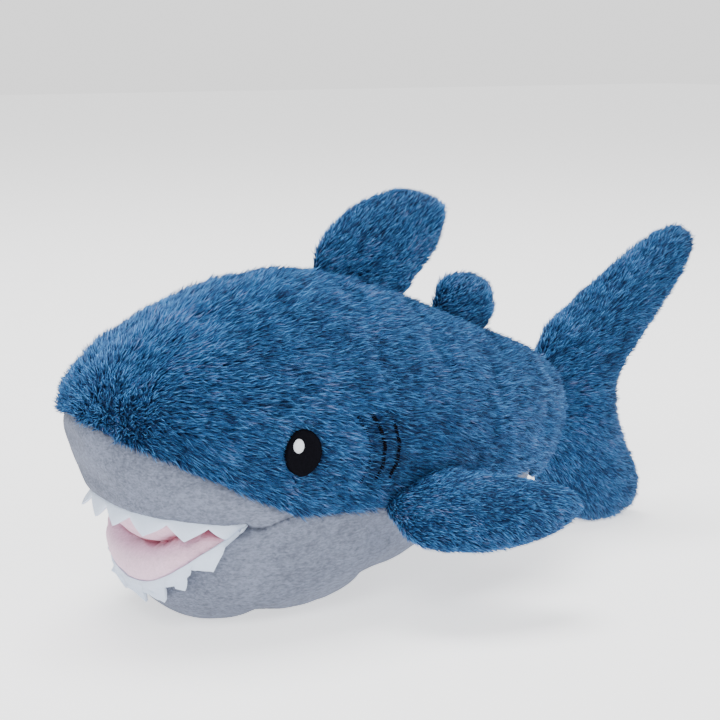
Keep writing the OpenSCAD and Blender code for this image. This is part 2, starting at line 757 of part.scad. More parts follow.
function side_point(y, z) = let (k = station_at(y * stretch[0]), a = side_angle(k, z * lift))
    in_body(k, a, -fin_gap);
side_fin_out = side_fin_length * [cos(side_fin_droop) * cos(side_fin_sweep),
    cos(side_fin_droop) * sin(side_fin_sweep), -sin(side_fin_droop)];
side_fin_front = side_point(side_fin_seam[0], side_fin_height - 3);
side_fin_rear = side_point(side_fin_seam[1], side_fin_height + 5);
side_fin_up = unit(cross(side_fin_out, side_fin_rear - side_fin_front));
side_fin_frame = [side_fin_front, side_fin_rear, side_fin_out,
    -side_fin_up * side_fin_thickness];

module side_fin(cover, mirrored) {
    mirror([mirrored ? 1 : 0, 0, 0])
        if (cover == 0) fin_filling(side_fin_rows, side_fin_frame, 10);
        else fin_cover(side_fin_rows, side_fin_frame, cover, 14);
}

module side_fin_top_left() {
    placed(blue) side_fin(-1, false);
}

module side_fin_under_left() {
    placed(blue) side_fin(1, false);
}

module side_fin_stuffing_left() {
    placed(fibre) side_fin(0, false);
}

module side_fin_top_right() {
    placed(blue) side_fin(-1, true);
}

module side_fin_under_right() {
    placed(blue) side_fin(1, true);
}

module side_fin_stuffing_right() {
    placed(fibre) side_fin(0, true);
}

back_panel_left();
back_panel_right();
snout_panel();
mouth_roof_lining();
upper_teeth();
belly_panel();
body_stuffing();
closing_stitches();
eye_left();
eye_right();
eye_spot_left();
eye_spot_right();
gill_stitches_left();
gill_stitches_right();
chin_panel();
mouth_floor_lining();
lower_teeth();
jaw_stuffing();
tail_panel_left();
tail_panel_right();
tail_stuffing();
dorsal_fin_left();
dorsal_fin_right();
dorsal_fin_stuffing();
rear_fin_left();
rear_fin_right();
rear_fin_stuffing();
side_fin_top_left();
side_fin_under_left();
side_fin_stuffing_left();
side_fin_top_right();
side_fin_under_right();
side_fin_stuffing_right();
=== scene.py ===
"""A stuffed shark with a long-pile back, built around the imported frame."""
import json
import math

import bmesh
import bpy
import numpy as np
from bpy.props import FloatProperty, FloatVectorProperty, IntProperty, PointerProperty
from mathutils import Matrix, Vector
from mathutils import noise as wisp
from mathutils.bvhtree import BVHTree


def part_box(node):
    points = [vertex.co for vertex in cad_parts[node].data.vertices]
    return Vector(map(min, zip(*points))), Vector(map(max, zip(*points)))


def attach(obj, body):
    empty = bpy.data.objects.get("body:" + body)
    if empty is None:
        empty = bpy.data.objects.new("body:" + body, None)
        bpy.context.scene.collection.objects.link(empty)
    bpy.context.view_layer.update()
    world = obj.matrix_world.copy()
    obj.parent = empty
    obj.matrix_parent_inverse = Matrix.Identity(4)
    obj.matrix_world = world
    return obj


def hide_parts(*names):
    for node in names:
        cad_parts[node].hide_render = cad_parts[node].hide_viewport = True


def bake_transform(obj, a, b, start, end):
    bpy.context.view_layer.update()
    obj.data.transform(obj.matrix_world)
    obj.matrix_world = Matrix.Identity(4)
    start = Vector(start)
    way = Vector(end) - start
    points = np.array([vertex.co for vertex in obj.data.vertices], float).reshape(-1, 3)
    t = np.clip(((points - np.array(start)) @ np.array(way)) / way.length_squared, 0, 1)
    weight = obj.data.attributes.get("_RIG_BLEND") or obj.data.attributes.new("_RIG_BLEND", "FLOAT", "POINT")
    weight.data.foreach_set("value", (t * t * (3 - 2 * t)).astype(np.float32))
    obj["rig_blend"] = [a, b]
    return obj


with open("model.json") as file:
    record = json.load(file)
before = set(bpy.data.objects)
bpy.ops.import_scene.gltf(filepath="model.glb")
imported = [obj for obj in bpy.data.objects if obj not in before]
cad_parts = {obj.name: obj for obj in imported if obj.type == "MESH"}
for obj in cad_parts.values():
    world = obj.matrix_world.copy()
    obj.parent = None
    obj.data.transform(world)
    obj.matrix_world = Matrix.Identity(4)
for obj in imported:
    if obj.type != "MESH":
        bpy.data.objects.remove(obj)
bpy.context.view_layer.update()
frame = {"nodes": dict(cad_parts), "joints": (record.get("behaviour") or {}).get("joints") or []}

bl_info = {
    "name": "Plush shark",
    "version": (1, 0, 0),
    "blender": (4, 5, 0),
    "location": "View3D > Sidebar > Plush shark",
    "description": "Makes the pile, skin, teeth, eyes and stitching of a stuffed shark",
    "category": "Object",
}

JOINTS = {joint["name"]: joint for joint in frame["joints"]}
MM = 0.001
PANELS = {
    "back_left": ["back_panel_left"],
    "back_right": ["back_panel_right"],
    "snout": ["snout_panel"],
    "roof": ["mouth_roof_lining"],
    "floor": ["mouth_floor_lining"],
    "belly": ["belly_panel", "chin_panel"],
}
PANEL_NAMES = list(PANELS)
made = {}
finishes = {}


# ---- meshes


def new_object(name, mesh):
    """An object for a mesh, linked into the scene."""
    piece = bpy.data.objects.new(name, mesh)
    bpy.context.scene.collection.objects.link(piece)
    return piece


def mesh_from(name, points, faces):
    """A mesh from arrays of points and faces."""
    mesh = bpy.data.meshes.new(name)
    mesh.from_pydata([tuple(p) for p in points], [], [tuple(int(i) for i in f) for f in faces])
    mesh.update()
    return mesh


def points_of(mesh):
    """The mesh's vertices as an array."""
    flat = np.empty(len(mesh.vertices) * 3)
    mesh.vertices.foreach_get("co", flat)
    return flat.reshape(-1, 3)


def normals_of(mesh):
    """The mesh's vertex normals as an array."""
    flat = np.empty(len(mesh.vertices) * 3)
    mesh.vertex_normals.foreach_get("vector", flat)
    return flat.reshape(-1, 3)


def move_points(mesh, points):
    """Puts the mesh's vertices at these points."""
    mesh.vertices.foreach_set("co", np.asarray(points, float).ravel())
    mesh.update()


def joined_copy(name, nodes):
    """One object made of merged copies of CAD nodes."""
    shell = bmesh.new()
    for node in nodes:
        shell.from_mesh(frame["nodes"][node].data)
    bmesh.ops.remove_doubles(shell, verts=shell.verts, dist=1e-6)
    mesh = bpy.data.meshes.new(name)
    shell.to_mesh(mesh)
    shell.free()
    return new_object(name, mesh)


def applied(piece):
    """The object with its modifiers worked into its mesh."""
    graph = bpy.context.evaluated_depsgraph_get()
    graph.update()
    mesh = bpy.data.meshes.new_from_object(piece.evaluated_get(graph))
    piece.modifiers.clear()
    old = piece.data
    piece.data = mesh
    bpy.data.meshes.remove(old)
    return piece


def voxel_remeshed(piece, size):
    """The object as one even skin of quads."""
    remesh = piece.modifiers.new("Even skin", "REMESH")
    remesh.mode = "VOXEL"
    remesh.voxel_size = size
    return applied(piece)


def offset(piece, distance):
    """Moves the skin along its normals."""
    mesh = piece.data
    move_points(mesh, points_of(mesh) + normals_of(mesh) * distance)


def islands_in(shell):
    """The vertices of each connected part of a mesh."""
    shell.verts.ensure_lookup_table()
    seen = np.zeros(len(shell.verts), bool)
    found = []
    for start in shell.verts:
        if seen[start.index]:
            continue
        seen[start.index] = True
        island = [start]
        for vert in island:
            for edge in vert.link_edges:
                other = edge.other_vert(vert)
                if not seen[other.index]:
                    seen[other.index] = True
                    island.append(other)
        found.append(island)
    return found


def outer_shell(piece):
    """Keeps the largest connected shell only."""
    shell = bmesh.new()
    shell.from_mesh(piece.data)
    keep = set(max(islands_in(shell), key=len))
    bmesh.ops.delete(shell, geom=[v for v in shell.verts if v not in keep], context="VERTS")
    shell.to_mesh(piece.data)
    shell.free()


def parts_of(node):
    """Middle, direction and length of each separate solid of a CAD node."""
    shell = bmesh.new()
    shell.from_mesh(frame["nodes"][node].data)
    bmesh.ops.remove_doubles(shell, verts=shell.verts, dist=1e-6)
    found = []
    for island in islands_in(shell):
        points = np.array([v.co[:] for v in island])
        middle = points.mean(0)
        _, _, axes = np.linalg.svd(points - middle)
        run = (points - middle) @ axes[0]
        found.append((Vector(middle), Vector(axes[0]), float(run.max() - run.min())))
    shell.free()
    return found


def neighbour_lists(mesh):
    """For each edge its two vertices, as an array."""
    pairs = np.empty(len(mesh.edges) * 2, np.int64)
    mesh.edges.foreach_get("vertices", pairs)
    return pairs.reshape(-1, 2)


def smoothed(values, edges, rounds, share=0.5):
    """Values at vertices, averaged with their neighbours."""
    count = np.zeros(len(values))
    np.add.at(count, edges[:, 0], 1)
    np.add.at(count, edges[:, 1], 1)
    count = np.maximum(count, 1)
    if values.ndim > 1:
        count = count[:, None]
    for _ in range(rounds):
        total = np.zeros_like(values)
        np.add.at(total, edges[:, 0], values[edges[:, 1]])
        np.add.at(total, edges[:, 1], values[edges[:, 0]])
        values = values * (1 - share) + total / count * share
    return values


def smooth_skin(piece, rounds):
    """Smooths the skin and gives it back the size that smoothing takes."""
    edges = neighbour_lists(piece.data)
    points = points_of(piece.data)
    for _ in range(rounds):
        points = smoothed(points, edges, 1, 0.6)
        points = smoothed(points, edges, 1, -0.62)
    move_points(piece.data, points)


LEAST_PIN = 0.02
CLOTH_FRAMES = 20


def stuffed(piece, pinned, cap, pressure, growth):
    """Blows the skin up as cloth that stays pinned where it is sewn."""
    rest = points_of(piece.data)
    group = piece.vertex_groups.new(name="sewn")
    for index in np.nonzero(pinned > LEAST_PIN)[0]:
        group.add([int(index)], float(pinned[index]), "REPLACE")
    cloth = piece.modifiers.new("Stuffing", "CLOTH")
    settings = cloth.settings
    settings.quality = 6
    settings.mass = 0.3
    settings.tension_stiffness = 18
    settings.compression_stiffness = 18
    settings.shear_stiffness = 8
    settings.bending_stiffness = 0.6
    settings.shrink_min = -growth
    settings.use_pressure = True
    settings.uniform_pressure_force = pressure
    settings.vertex_group_mass = "sewn"
    settings.pin_stiffness = 1.0
    settings.effector_weights.gravity = 0
    cloth.collision_settings.use_collision = False
    scene = bpy.context.scene
    for number in range(1, CLOTH_FRAMES + 1):
        scene.frame_set(number)
    applied(piece)
    scene.frame_set(1)
    moved = points_of(piece.data) - rest
    length = np.linalg.norm(moved, axis=1)
    share = np.minimum(1, cap / np.maximum(length, 1e-9))
    move_points(piece.data, rest + moved * share[:, None])
    piece.vertex_groups.clear()
    return piece


def subdivided(piece, levels=1):
    """One finer, rounder skin."""
    finer = piece.modifiers.new("Finer", "SUBSURF")
    finer.levels = levels
    finer.render_levels = levels
    return applied(piece)


def triangles_of(mesh):
    """The mesh's triangles as an array."""
    mesh.calc_loop_triangles()
    flat = np.empty(len(mesh.loop_triangles) * 3, np.int64)
    mesh.loop_triangles.foreach_get("vertices", flat)
    return flat.reshape(-1, 3)


def surface_tree(points, faces):
    """A tree for nearest points on a surface."""
    return BVHTree.FromPolygons([tuple(p) for p in points], [tuple(int(i) for i in f) for f in faces])


def node_distances(points, nodes):
    """Distance of each point from a set of CAD nodes."""
    shell = bmesh.new()
    for node in nodes:
        shell.from_mesh(frame["nodes"][node].data)
    tree = BVHTree.FromBMesh(shell)
    shell.free()
    return np.array([tree.find_nearest(Vector(p))[3] for p in points])


def cut_along_seams(points, faces, distance):
    """Splits triangles where the nearest panel changes, and sorts them by panel."""
    label = distance.argmin(0)
    points = [p for p in points]
    cuts = {}

    def cut(a, b):
        key = (min(a, b), max(a, b))
        if key not in cuts:
            a, b = key
            near = distance[label[b]][a] - distance[label[a]][a]
            far = distance[label[a]][b] - distance[label[b]][b]
            share = min(max(near / max(near + far, 1e-12), 0.04), 0.96)
            cuts[key] = len(points)
            points.append(points[a] * (1 - share) + points[b] * share)
        return cuts[key]

    panels = [[] for _ in range(len(distance))]
    for face in faces:
        names = label[face]
        a, b, c = (int(i) for i in face)
        if names[0] == names[1] == names[2]:
            panels[names[0]].append((a, b, c))
            continue
        if len(set(names)) == 3:
            middle = len(points)
            points.append((points[a] + points[b] + points[c]) / 3)
            for one, two, three in ((a, b, c), (b, c, a), (c, a, b)):
                near, far = cut(one, two), cut(three, one)
                panels[label[one]] += [(one, near, middle), (one, middle, far)]
            continue
        while names[1] != names[2]:
            names = np.roll(names, -1)
            a, b, c = b, c, a
        near, far = cut(a, b), cut(c, a)
        panels[names[0]].append((a, near, far))
        panels[names[1]] += [(near, b, c), (near, c, far)]
    return np.array(points), panels, cuts, label


def piece_of(name, points, faces):
    """An object of some of the faces of a larger skin."""
    faces = np.array(faces)
    used, order = np.unique(faces, return_inverse=True)
    mesh = mesh_from(name, points[used], order.reshape(faces.shape))
    mesh.shade_smooth()
    return new_object(name, mesh)


def thickened(piece, thickness):
    """Gives an open skin its thickness, inwards."""
    wall = piece.modifiers.new("Thickness", "SOLIDIFY")
    wall.thickness = thickness
    wall.offset = -1
    return applied(piece)


def unit_rows(rows):
    """Each row scaled to length 1."""
    return rows / np.maximum(np.linalg.norm(rows, axis=1), 1e-9)[:, None]


def smooth_step(low, high, value):
    """0 below low, 1 above high, and smooth between them."""
    share = np.clip((value - low) / (high - low), 0, 1)
    return share * share * (3 - 2 * share)


# ---- node trees


class Wire:
    """A socket's value, so that maths on it reads as maths."""

    def __init__(self, nodes, socket):
        self.nodes = nodes
        self.socket = socket

    def _math(self, operation, first, second):
        made_node = self.nodes.add("ShaderNodeMath", {"operation": operation},
                                   {0: first, 1: second})
        return Wire(self.nodes, made_node.outputs[0])

    def __add__(self, other):
        return self._math("ADD", self, other)

    __radd__ = __add__

    def __mul__(self, other):
        return self._math("MULTIPLY", self, other)

    __rmul__ = __mul__

    def __sub__(self, other):
        return self._math("SUBTRACT", self, other)

    def __rsub__(self, other):
        return self._math("SUBTRACT", other, self)


class Nodes:
    """A node tree, and the one way in which nodes are added to it."""

    def __init__(self, tree):
        self.tree = tree
        tree.nodes.clear()

    def add(self, kind, settings=None, inputs=None):
        node = self.tree.nodes.new(kind)
        for name, value in (settings or {}).items():
            if name == "stops":
                self._set_stops(node.color_ramp, value)
            else:
                setattr(node, name, value)
        for key, value in (inputs or {}).items():
            self._fill(self._socket(node, key), value)
        return node

    def wire(self, kind, settings=None, inputs=None, output=0):
        node = self.add(kind, settings, inputs)
        if isinstance(output, str):
            return Wire(self, next(s for s in node.outputs if s.name == output and s.enabled))
        return Wire(self, node.outputs[output])

    def _socket(self, node, key):
        if isinstance(key, int):
            return node.inputs[key]
        return next(s for s in node.inputs if s.name == key and s.enabled)

    def _fill(self, socket, value):
        if isinstance(value, Wire):
            self.tree.links.new(value.socket, socket)
        else:
            socket.default_value = value

    def _set_stops(self, ramp, stops):
        while len(ramp.elements) > 1:
            ramp.elements.remove(ramp.elements[-1])
        ramp.elements[0].position = stops[0][0]
        ramp.elements[0].color = (*stops[0][1], 1)
        for place, colour in stops[1:]:
            ramp.elements.new(place).color = (*colour, 1)


# ---- materials


def material(name):
    """A new material and its nodes."""
    finish = bpy.data.materials.new(name)
    finish.use_nodes = True
    return finish, Nodes(finish.node_tree)


def finished(nodes, base, roughness, bump=None, sheen=0.0, shine=0.25, glow=0.0):
    """The fabric shader at the end of a material."""
    inputs = {"Base Color": base, "Roughness": roughness}
    if bump is not None:
        inputs["Normal"] = bump
    shader = nodes.add("ShaderNodeBsdfPrincipled", None, inputs)
    shader.inputs["Sheen Weight"].default_value = sheen
    shader.inputs["Sheen Roughness"].default_value = 0.5
    shader.inputs["Specular IOR Level"].default_value = shine
    if glow:
        shader.inputs["Emission Color"].default_value = (1, 1, 1, 1)
        shader.inputs["Emission Strength"].default_value = glow
    nodes.add("ShaderNodeOutputMaterial", None, {"Surface": Wire(nodes, shader.outputs[0])})


def blended_colours(nodes, factor, first, second):
    """A colour between two, by a factor."""
    return nodes.wire("ShaderNodeMix", {"data_type": "RGBA"},
                      {"Factor": factor, "A": first, "B": second}, "Result")


def noise(nodes, scale, detail=2.0, rough=0.5, stretch=(1, 1, 1)):
    """Noise in the object's own coordinates, with scale in features per metre."""
    place = nodes.wire("ShaderNodeTexCoord", None, None, "Object")
    mapped = nodes.wire("ShaderNodeMapping", None, {"Vector": place, "Scale": stretch})
    return nodes.wire("ShaderNodeTexNoise", None,
                      {"Vector": mapped, "Scale": scale, "Detail": detail, "Roughness": rough},
                      "Fac")


def with_alpha(colour):
    return (*colour, 1)


def pile_material(size):
    """Long pile: each strand has its own tone, with painted shade that darkens it towards its root."""
    finish, nodes = material("Long blue pile")
    place = nodes.wire("ShaderNodeUVMap", {"uv_map": "OFBake"}, None, "UV")
    parts = nodes.add("ShaderNodeSeparateXYZ", None, {"Vector": place})
    tone = Wire(nodes, parts.outputs[0])
    along = Wire(nodes, parts.outputs[1])
    navy, middle, light, lilac = (tuple(c) for c in (
        size.navy, size.middle_blue, size.light_blue, size.lilac))
    colour = nodes.wire("ShaderNodeValToRGB", {"stops": [
        (0.0, navy), (0.2, navy), (0.38, middle), (0.54, middle), (0.7, light),
        (0.86, light), (0.93, lilac), (1.0, lilac)]}, {"Fac": tone}, "Color")
    # Painted shade: along each strand the colour falls to a dark navy at the root, where shade lies low in
    # the pile.
    shade = nodes.wire("ShaderNodeValToRGB", {"stops": [
        (0.0, (0.05, 0.05, 0.05)), (0.45, (0.5, 0.5, 0.5)), (0.85, (1.0, 1.0, 1.0))]},
        {"Fac": along}, "Color")
    dark = tuple(0.3 * c for c in navy)
    base = blended_colours(nodes, shade, with_alpha(dark), colour)
    finished(nodes, base, 0.5 + 0.2 * tone, None, 0.0, 0.3)
    return finish


def backing_material(size):
    """The dark cloth that the long pile grows from."""
    finish, nodes = material("Blue backing cloth")
    weave = noise(nodes, 900, 2)
    dark = tuple(0.5 * c for c in size.navy)
    base = blended_colours(nodes, weave, with_alpha(dark), with_alpha(size.navy))
    bump = nodes.wire("ShaderNodeBump", None,
                      {"Strength": 0.5, "Distance": 0.4 * MM, "Height": weave})
    finished(nodes, base, 0.85 + 0.1 * weave, bump)
    return finish


def short_pile_material(name, light, dark, fold_shade, sheen):
    """Short brushed pile: fine fibres, nap shadows, slow changes of tone, and painted shade in folds and
    seams.
    """
    finish, nodes = material(name)
    fibres = noise(nodes, 1400, 2, 0.6, (1, 0.4, 1))
    nap = noise(nodes, 520, 3, 0.65, (1, 0.55, 1))
    patches = noise(nodes, 40, 2)
    tone = fibres * 0.55 + nap * 0.45 + patches * 0.3
    factor = (tone - 0.65) * 3.6 + 0.55
    brushed = blended_colours(nodes, nodes.wire("ShaderNodeClamp", None, {"Value": factor}),
                              with_alpha(dark), with_alpha(light))
    # Painted shade: the fold attribute blends the pile towards a dark colour in creases, seams and the
    # mouth's corners.
    fold = nodes.wire("ShaderNodeAttribute", {"attribute_name": "fold"}, None, "Fac")
    base = blended_colours(nodes, fold, brushed, with_alpha(fold_shade))
    height = fibres * 0.45 + nap * 0.55
    bump = nodes.wire("ShaderNodeBump", None,
                      {"Strength": 0.8, "Distance": 1.0 * MM, "Height": height})
    finished(nodes, base, 0.82 + 0.15 * fibres, bump, sheen, 0.15)
    return finish


def felt_material(size):
    """Pressed felt: matted fibres with faint hairs."""
    finish, nodes = material("White felt")
    matted = noise(nodes, 1400, 4, 0.7)
    wide = noise(nodes, 260, 2)
    light = tuple(size.felt)
    dark = tuple(0.8 * c for c in light)
    base = blended_colours(nodes, matted * 0.6 + wide * 0.4, with_alpha(dark), with_alpha(light))
    bump = nodes.wire("ShaderNodeBump", None,
                      {"Strength": 0.45, "Distance": 0.5 * MM, "Height": matted})
    finished(nodes, base, 0.82 + 0.1 * wide, bump, 0.2)
    return finish


def thread_material(name, colour, highlight, shine=0.18):
    """Sewing thread, with a tone that changes from strand to strand."""
    finish, nodes = material(name)
    twist = noise(nodes, 1800, 2, 0.5)
    base = blended_colours(nodes, twist, with_alpha(colour), with_alpha(highlight))
    bump = nodes.wire("ShaderNodeBump", None,
                      {"Strength": 0.4, "Distance": 0.15 * MM, "Height": twist})
    finished(nodes, base, 0.5 + 0.25 * twist, bump, 0.0, shine)
    return finish


def fibre_material():
    """Loose polyester fibre."""
    finish, nodes = material("Fibre filling")
    wisps = noise(nodes, 300, 5, 0.7)
    base = blended_colours(nodes, wisps, (0.7, 0.7, 0.68, 1), (0.95, 0.95, 0.93, 1))
    bump = nodes.wire("ShaderNodeBump", None,
                      {"Strength": 0.8, "Distance": 2 * MM, "Height": wisps})
    finished(nodes, base, 0.9 + 0.1 * wisps, bump)
    return finish


def floor_material():
    """Pale paper floor."""
    finish, nodes = material("Pale floor")
    grain = noise(nodes, 30, 3)
    base = blended_colours(nodes, grain, (0.88, 0.885, 0.89, 1), (0.92, 0.92, 0.925, 1))
    finished(nodes, base, 0.85 + 0.1 * grain, None, 0.0, 0.1, 1.1)
    return finish


def finish_of(name):
    """A material by name, made once."""
    size = bpy.context.scene.plush_shark
    makers = {
        "pile": lambda: pile_material(size),
        "backing": lambda: backing_material(size),
        # For each short pile, the third colour is the painted shade in its folds and seams.
        "grey": lambda: short_pile_material(
            "Short grey pile", tuple(size.grey), tuple(0.5 * c for c in size.grey),
            tuple(0.25 * c for c in size.grey), 0.05),
        "pink": lambda: short_pile_material(
            "Short pink pile", tuple(size.pink), tuple(0.82 * c for c in size.pink),
            tuple(size.pink_fold_shade), 0.12),
        "felt": lambda: felt_material(size),
        "black": lambda: thread_material(
            "Black thread", (0.0008, 0.0008, 0.0014), (0.005, 0.005, 0.008), 0.02),
        "white": lambda: thread_material("White thread", (0.62, 0.66, 0.74), (0.85, 0.88, 0.93)),
        "grey thread": lambda: thread_material(
            "Grey thread", tuple(0.6 * c for c in size.grey), tuple(size.grey)),
        "fibre": fibre_material,
        "floor": floor_material,
    }
    if name not in finishes:
        finishes[name] = makers[name]()
    return finishes[name]


def dressed(piece, finish):
    """Gives a piece its one material."""
    piece.data.materials.clear()
    piece.data.materials.append(finish_of(finish))
    piece.data.shade_smooth()
    return piece


# ---- the skin of the body


def body_skin():
    """The body and jaw as one closed skin, its seam gaps bridged."""
    nodes = [n for names in PANELS.values() for n in names] + ["body_stuffing", "jaw_stuffing"]
    skin = joined_copy("body_skin", nodes)
    voxel = 2.5 * MM
    last_voxel = 3.2 * MM
    bridge = 2.6 * MM
    rounds = 6
    voxel_remeshed(skin, voxel)
    outer_shell(skin)
    offset(skin, bridge)
    voxel_remeshed(skin, voxel)
    outer_shell(skin)
    offset(skin, -bridge)
    smooth_skin(skin, rounds)
    voxel_remeshed(skin, last_voxel)
    outer_shell(skin)
    smooth_skin(skin, rounds)
    return skin


def seam_closeness(distance, width):
    """1 on a seam between two panels, falling to 0 at width from it."""
    ordered = np.sort(distance, axis=0)
    return np.exp(-((ordered[1] - ordered[0]) / width) ** 2)


def pair_closeness(distance, first, second, width):
    """The same for the seam between two given panels."""
    one, two = distance[PANEL_NAMES.index(first)], distance[PANEL_NAMES.index(second)]
    nearest = distance.min(0)
    near = np.maximum(one, two) - nearest
    return np.exp(-(near / width) ** 2)


class PLUSH_OT_body(bpy.types.Operator):
    """Makes the stuffed body's panels and the mouth's linings"""
    bl_idname = "plush.body"
    bl_label = "Body panels"

    def execute(self, context):
        size = context.scene.plush_shark
        skin = body_skin()
        points = points_of(skin.data)
        distance = np.array([node_distances(points, PANELS[n]) for n in PANEL_NAMES])
        stuffed(skin, 0.9 * seam_closeness(distance, 3 * MM), 2.5 * MM, 4.0, 0.02)
        subdivided(skin)
        mesh = skin.data
        points = points_of(mesh)
        normals = normals_of(mesh)
        distance = np.array([node_distances(points, PANELS[n]) for n in PANEL_NAMES])
        rear = smooth_step(38 * MM, 52 * MM, points[:, 1])
        distance[PANEL_NAMES.index("belly")] += size.rear_border * rear
        sink = size.seam_depth * seam_closeness(distance, 1.6 * MM)
        sink += 0.5 * size.fold_depth * pair_closeness(distance, "roof", "floor", 4 * MM)
        sink += 0.8 * size.fold_depth * pair_closeness(distance, "roof", "floor", 1.6 * MM)
        sink += 0.5 * size.seam_depth * pair_closeness(distance, "snout", "belly", 3 * MM)
        sink -= size.tongue_swell * self.tongue(distance)
        floor_level = 0.2 * MM
        points = points - normals * sink[:, None]
        points[:, 2] = np.maximum(points[:, 2], floor_level)
        move_points(mesh, points)
        faces = triangles_of(mesh)
        made["skin tree"] = surface_tree(points, faces)
        cut_points, panels, cuts, label = cut_along_seams(points, faces, distance)
        made["lips"] = self.lips(cut_points, cuts, label)
        for index, name in enumerate(PANEL_NAMES):
            made[name] = piece_of(name, cut_points, panels[index])
            if "back" not in name:
                self.shade_folds(made[name], name)
        bpy.data.objects.remove(skin)
        return {"FINISHED"}

    def tongue(self, distance):
        """How much each point of the lower lining swells over the lip."""
        near = distance.min(0)
        floor_gap = distance[PANEL_NAMES.index("floor")] - near
        roof_gap = distance[PANEL_NAMES.index("roof")] - near
        inside = 1 - smooth_step(0, 3 * MM, floor_gap)
        return inside * smooth_step(1 * MM, 7 * MM, roof_gap)

    def shade_folds(self, piece, name):
        """Stores a painted-shade weight at each point of a panel: strong in the mouth's fold, at its corners
        and along seams, with some over the whole roof.
        """
        points = points_of(piece.data)
        if name in ("roof", "floor"):
            other = PANELS["floor" if name == "roof" else "roof"]
            near = node_distances(points, other) - node_distances(points, PANELS[name])
            near = np.maximum(near, 0)
            # Painted shade: darker towards the mouth's corners, over the whole roof, and most in the fold
            # between the two linings.
            corner = smooth_step(20 * MM, 42 * MM, np.abs(points[:, 0]))
            roof_shade = 0.2 if name == "roof" else 0.0
            fold = roof_shade + 0.3 * corner + 0.9 * np.exp(-(near / (1.5 * MM)) ** 2)
        else:
            # Painted shade along the seams with the other panels.
            others = [n for key, names in PANELS.items() if key != name for n in names]
            near = node_distances(points, others) - node_distances(points, PANELS[name])
            fold = 0.6 * np.exp(-(np.maximum(near, 0) / (0.9 * MM)) ** 2)
        store(piece.data, "fold", "FLOAT", np.clip(fold, 0, 0.95))

    def lips(self, points, cuts, label):
        """The two lip lines, from right to left."""
        found = {}
        for lip, pair in (("upper", {"snout", "roof"}), ("lower", {"belly", "floor"})):
            wanted = {PANEL_NAMES.index(n) for n in pair}
            line = [points[i] for (a, b), i in cuts.items() if {label[a], label[b]} == wanted]
            corner = JOINTS["jaw_fold"]["pos_m"][1] + 4 * MM
            line.sort(key=lambda p: math.atan2(p[0], corner - p[1]))
            found[lip] = np.array(line)
        return found


class PLUSH_OT_body_finish(bpy.types.Operator):
    """Finishes the body's panels and hangs them on the frame"""
    bl_idname = "plush.body_finish"
    bl_label = "Finish the body panels"

    def execute(self, context):
        size = context.scene.plush_shark
        jaw = Vector(JOINTS["jaw_fold"]["pos_m"])
        table = (
            ("back_left", "back_skin_left", "backing", "blue_long_pile", ["back_panel_left"]),
            ("back_right", "back_skin_right", "backing", "blue_long_pile", ["back_panel_right"]),
            ("snout", "snout_skin", "grey", "grey_short_pile", ["snout_panel"]),
            ("roof", "mouth_roof", "pink", "pink_short_pile", ["mouth_roof_lining"]),
            ("floor", "mouth_floor", "pink", "pink_short_pile", ["mouth_floor_lining"]),
            ("belly", "belly_and_chin_skin", "grey", "grey_short_pile",
             ["belly_panel", "chin_panel"]),
        )
        for key, name, finish, slot, nodes in table:
            piece = made[key]
            piece.name = name
            thickened(piece, size.cloth)
            dressed(piece, finish)
            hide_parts(*nodes)
            if key == "belly":
                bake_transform(piece, "torso", "jaw", start=jaw + Vector((0, 12 * MM, -20 * MM)),
                         end=jaw + Vector((0, -6 * MM, -24.5 * MM)))
            elif key == "floor":
                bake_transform(piece, "torso", "jaw", start=jaw + Vector((0, 0, 2 * MM)),
                         end=jaw + Vector((0, -1.5 * MM, -5 * MM)))
            else:
                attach(piece, "torso")
        return {"FINISHED"}


# ---- fins and tail


def fin_skin(name, nodes, voxel, root, out, reach):
    """One closed skin of a fin, with its root drawn out towards the body."""
    skin = joined_copy(name, nodes)
    voxel_remeshed(skin, voxel)
    outer_shell(skin)
    smooth_skin(skin, 5)
    points = points_of(skin.data)
    height = (points - np.array(root)) @ np.array(out)
    pull = reach * (1 - smooth_step(0, 9 * MM, height))
    move_points(skin.data, points - pull[:, None] * np.array(out))
    return skin


FINS = {
    "dorsal_fin": ("dorsal_fin_flop", ["dorsal_fin_left", "dorsal_fin_right", "dorsal_fin_stuffing"]),
    "rear_fin": ("rear_fin_flop", ["rear_fin_left", "rear_fin_right", "rear_fin_stuffing"]),
    "side_fin_left": ("side_fin_flap_left", ["side_fin_top_left", "side_fin_under_left",
                                             "side_fin_stuffing_left"]),
    "side_fin_right": ("side_fin_flap_right", ["side_fin_top_right", "side_fin_under_right",
                                               "side_fin_stuffing_right"]),
}


def fin_frame(body):
    """Root point, direction of the seam, and direction from the seam to the tip."""
    joint_name, nodes = FINS[body]
    joint = JOINTS[joint_name]
    root = Vector(joint["pos_m"])
    seam = Vector(joint["axis"]).normalized()
    low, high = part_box(nodes[0])
    out = (low + high) / 2 - root
    out -= out.dot(seam) * seam
    return root, seam, out.normalized()


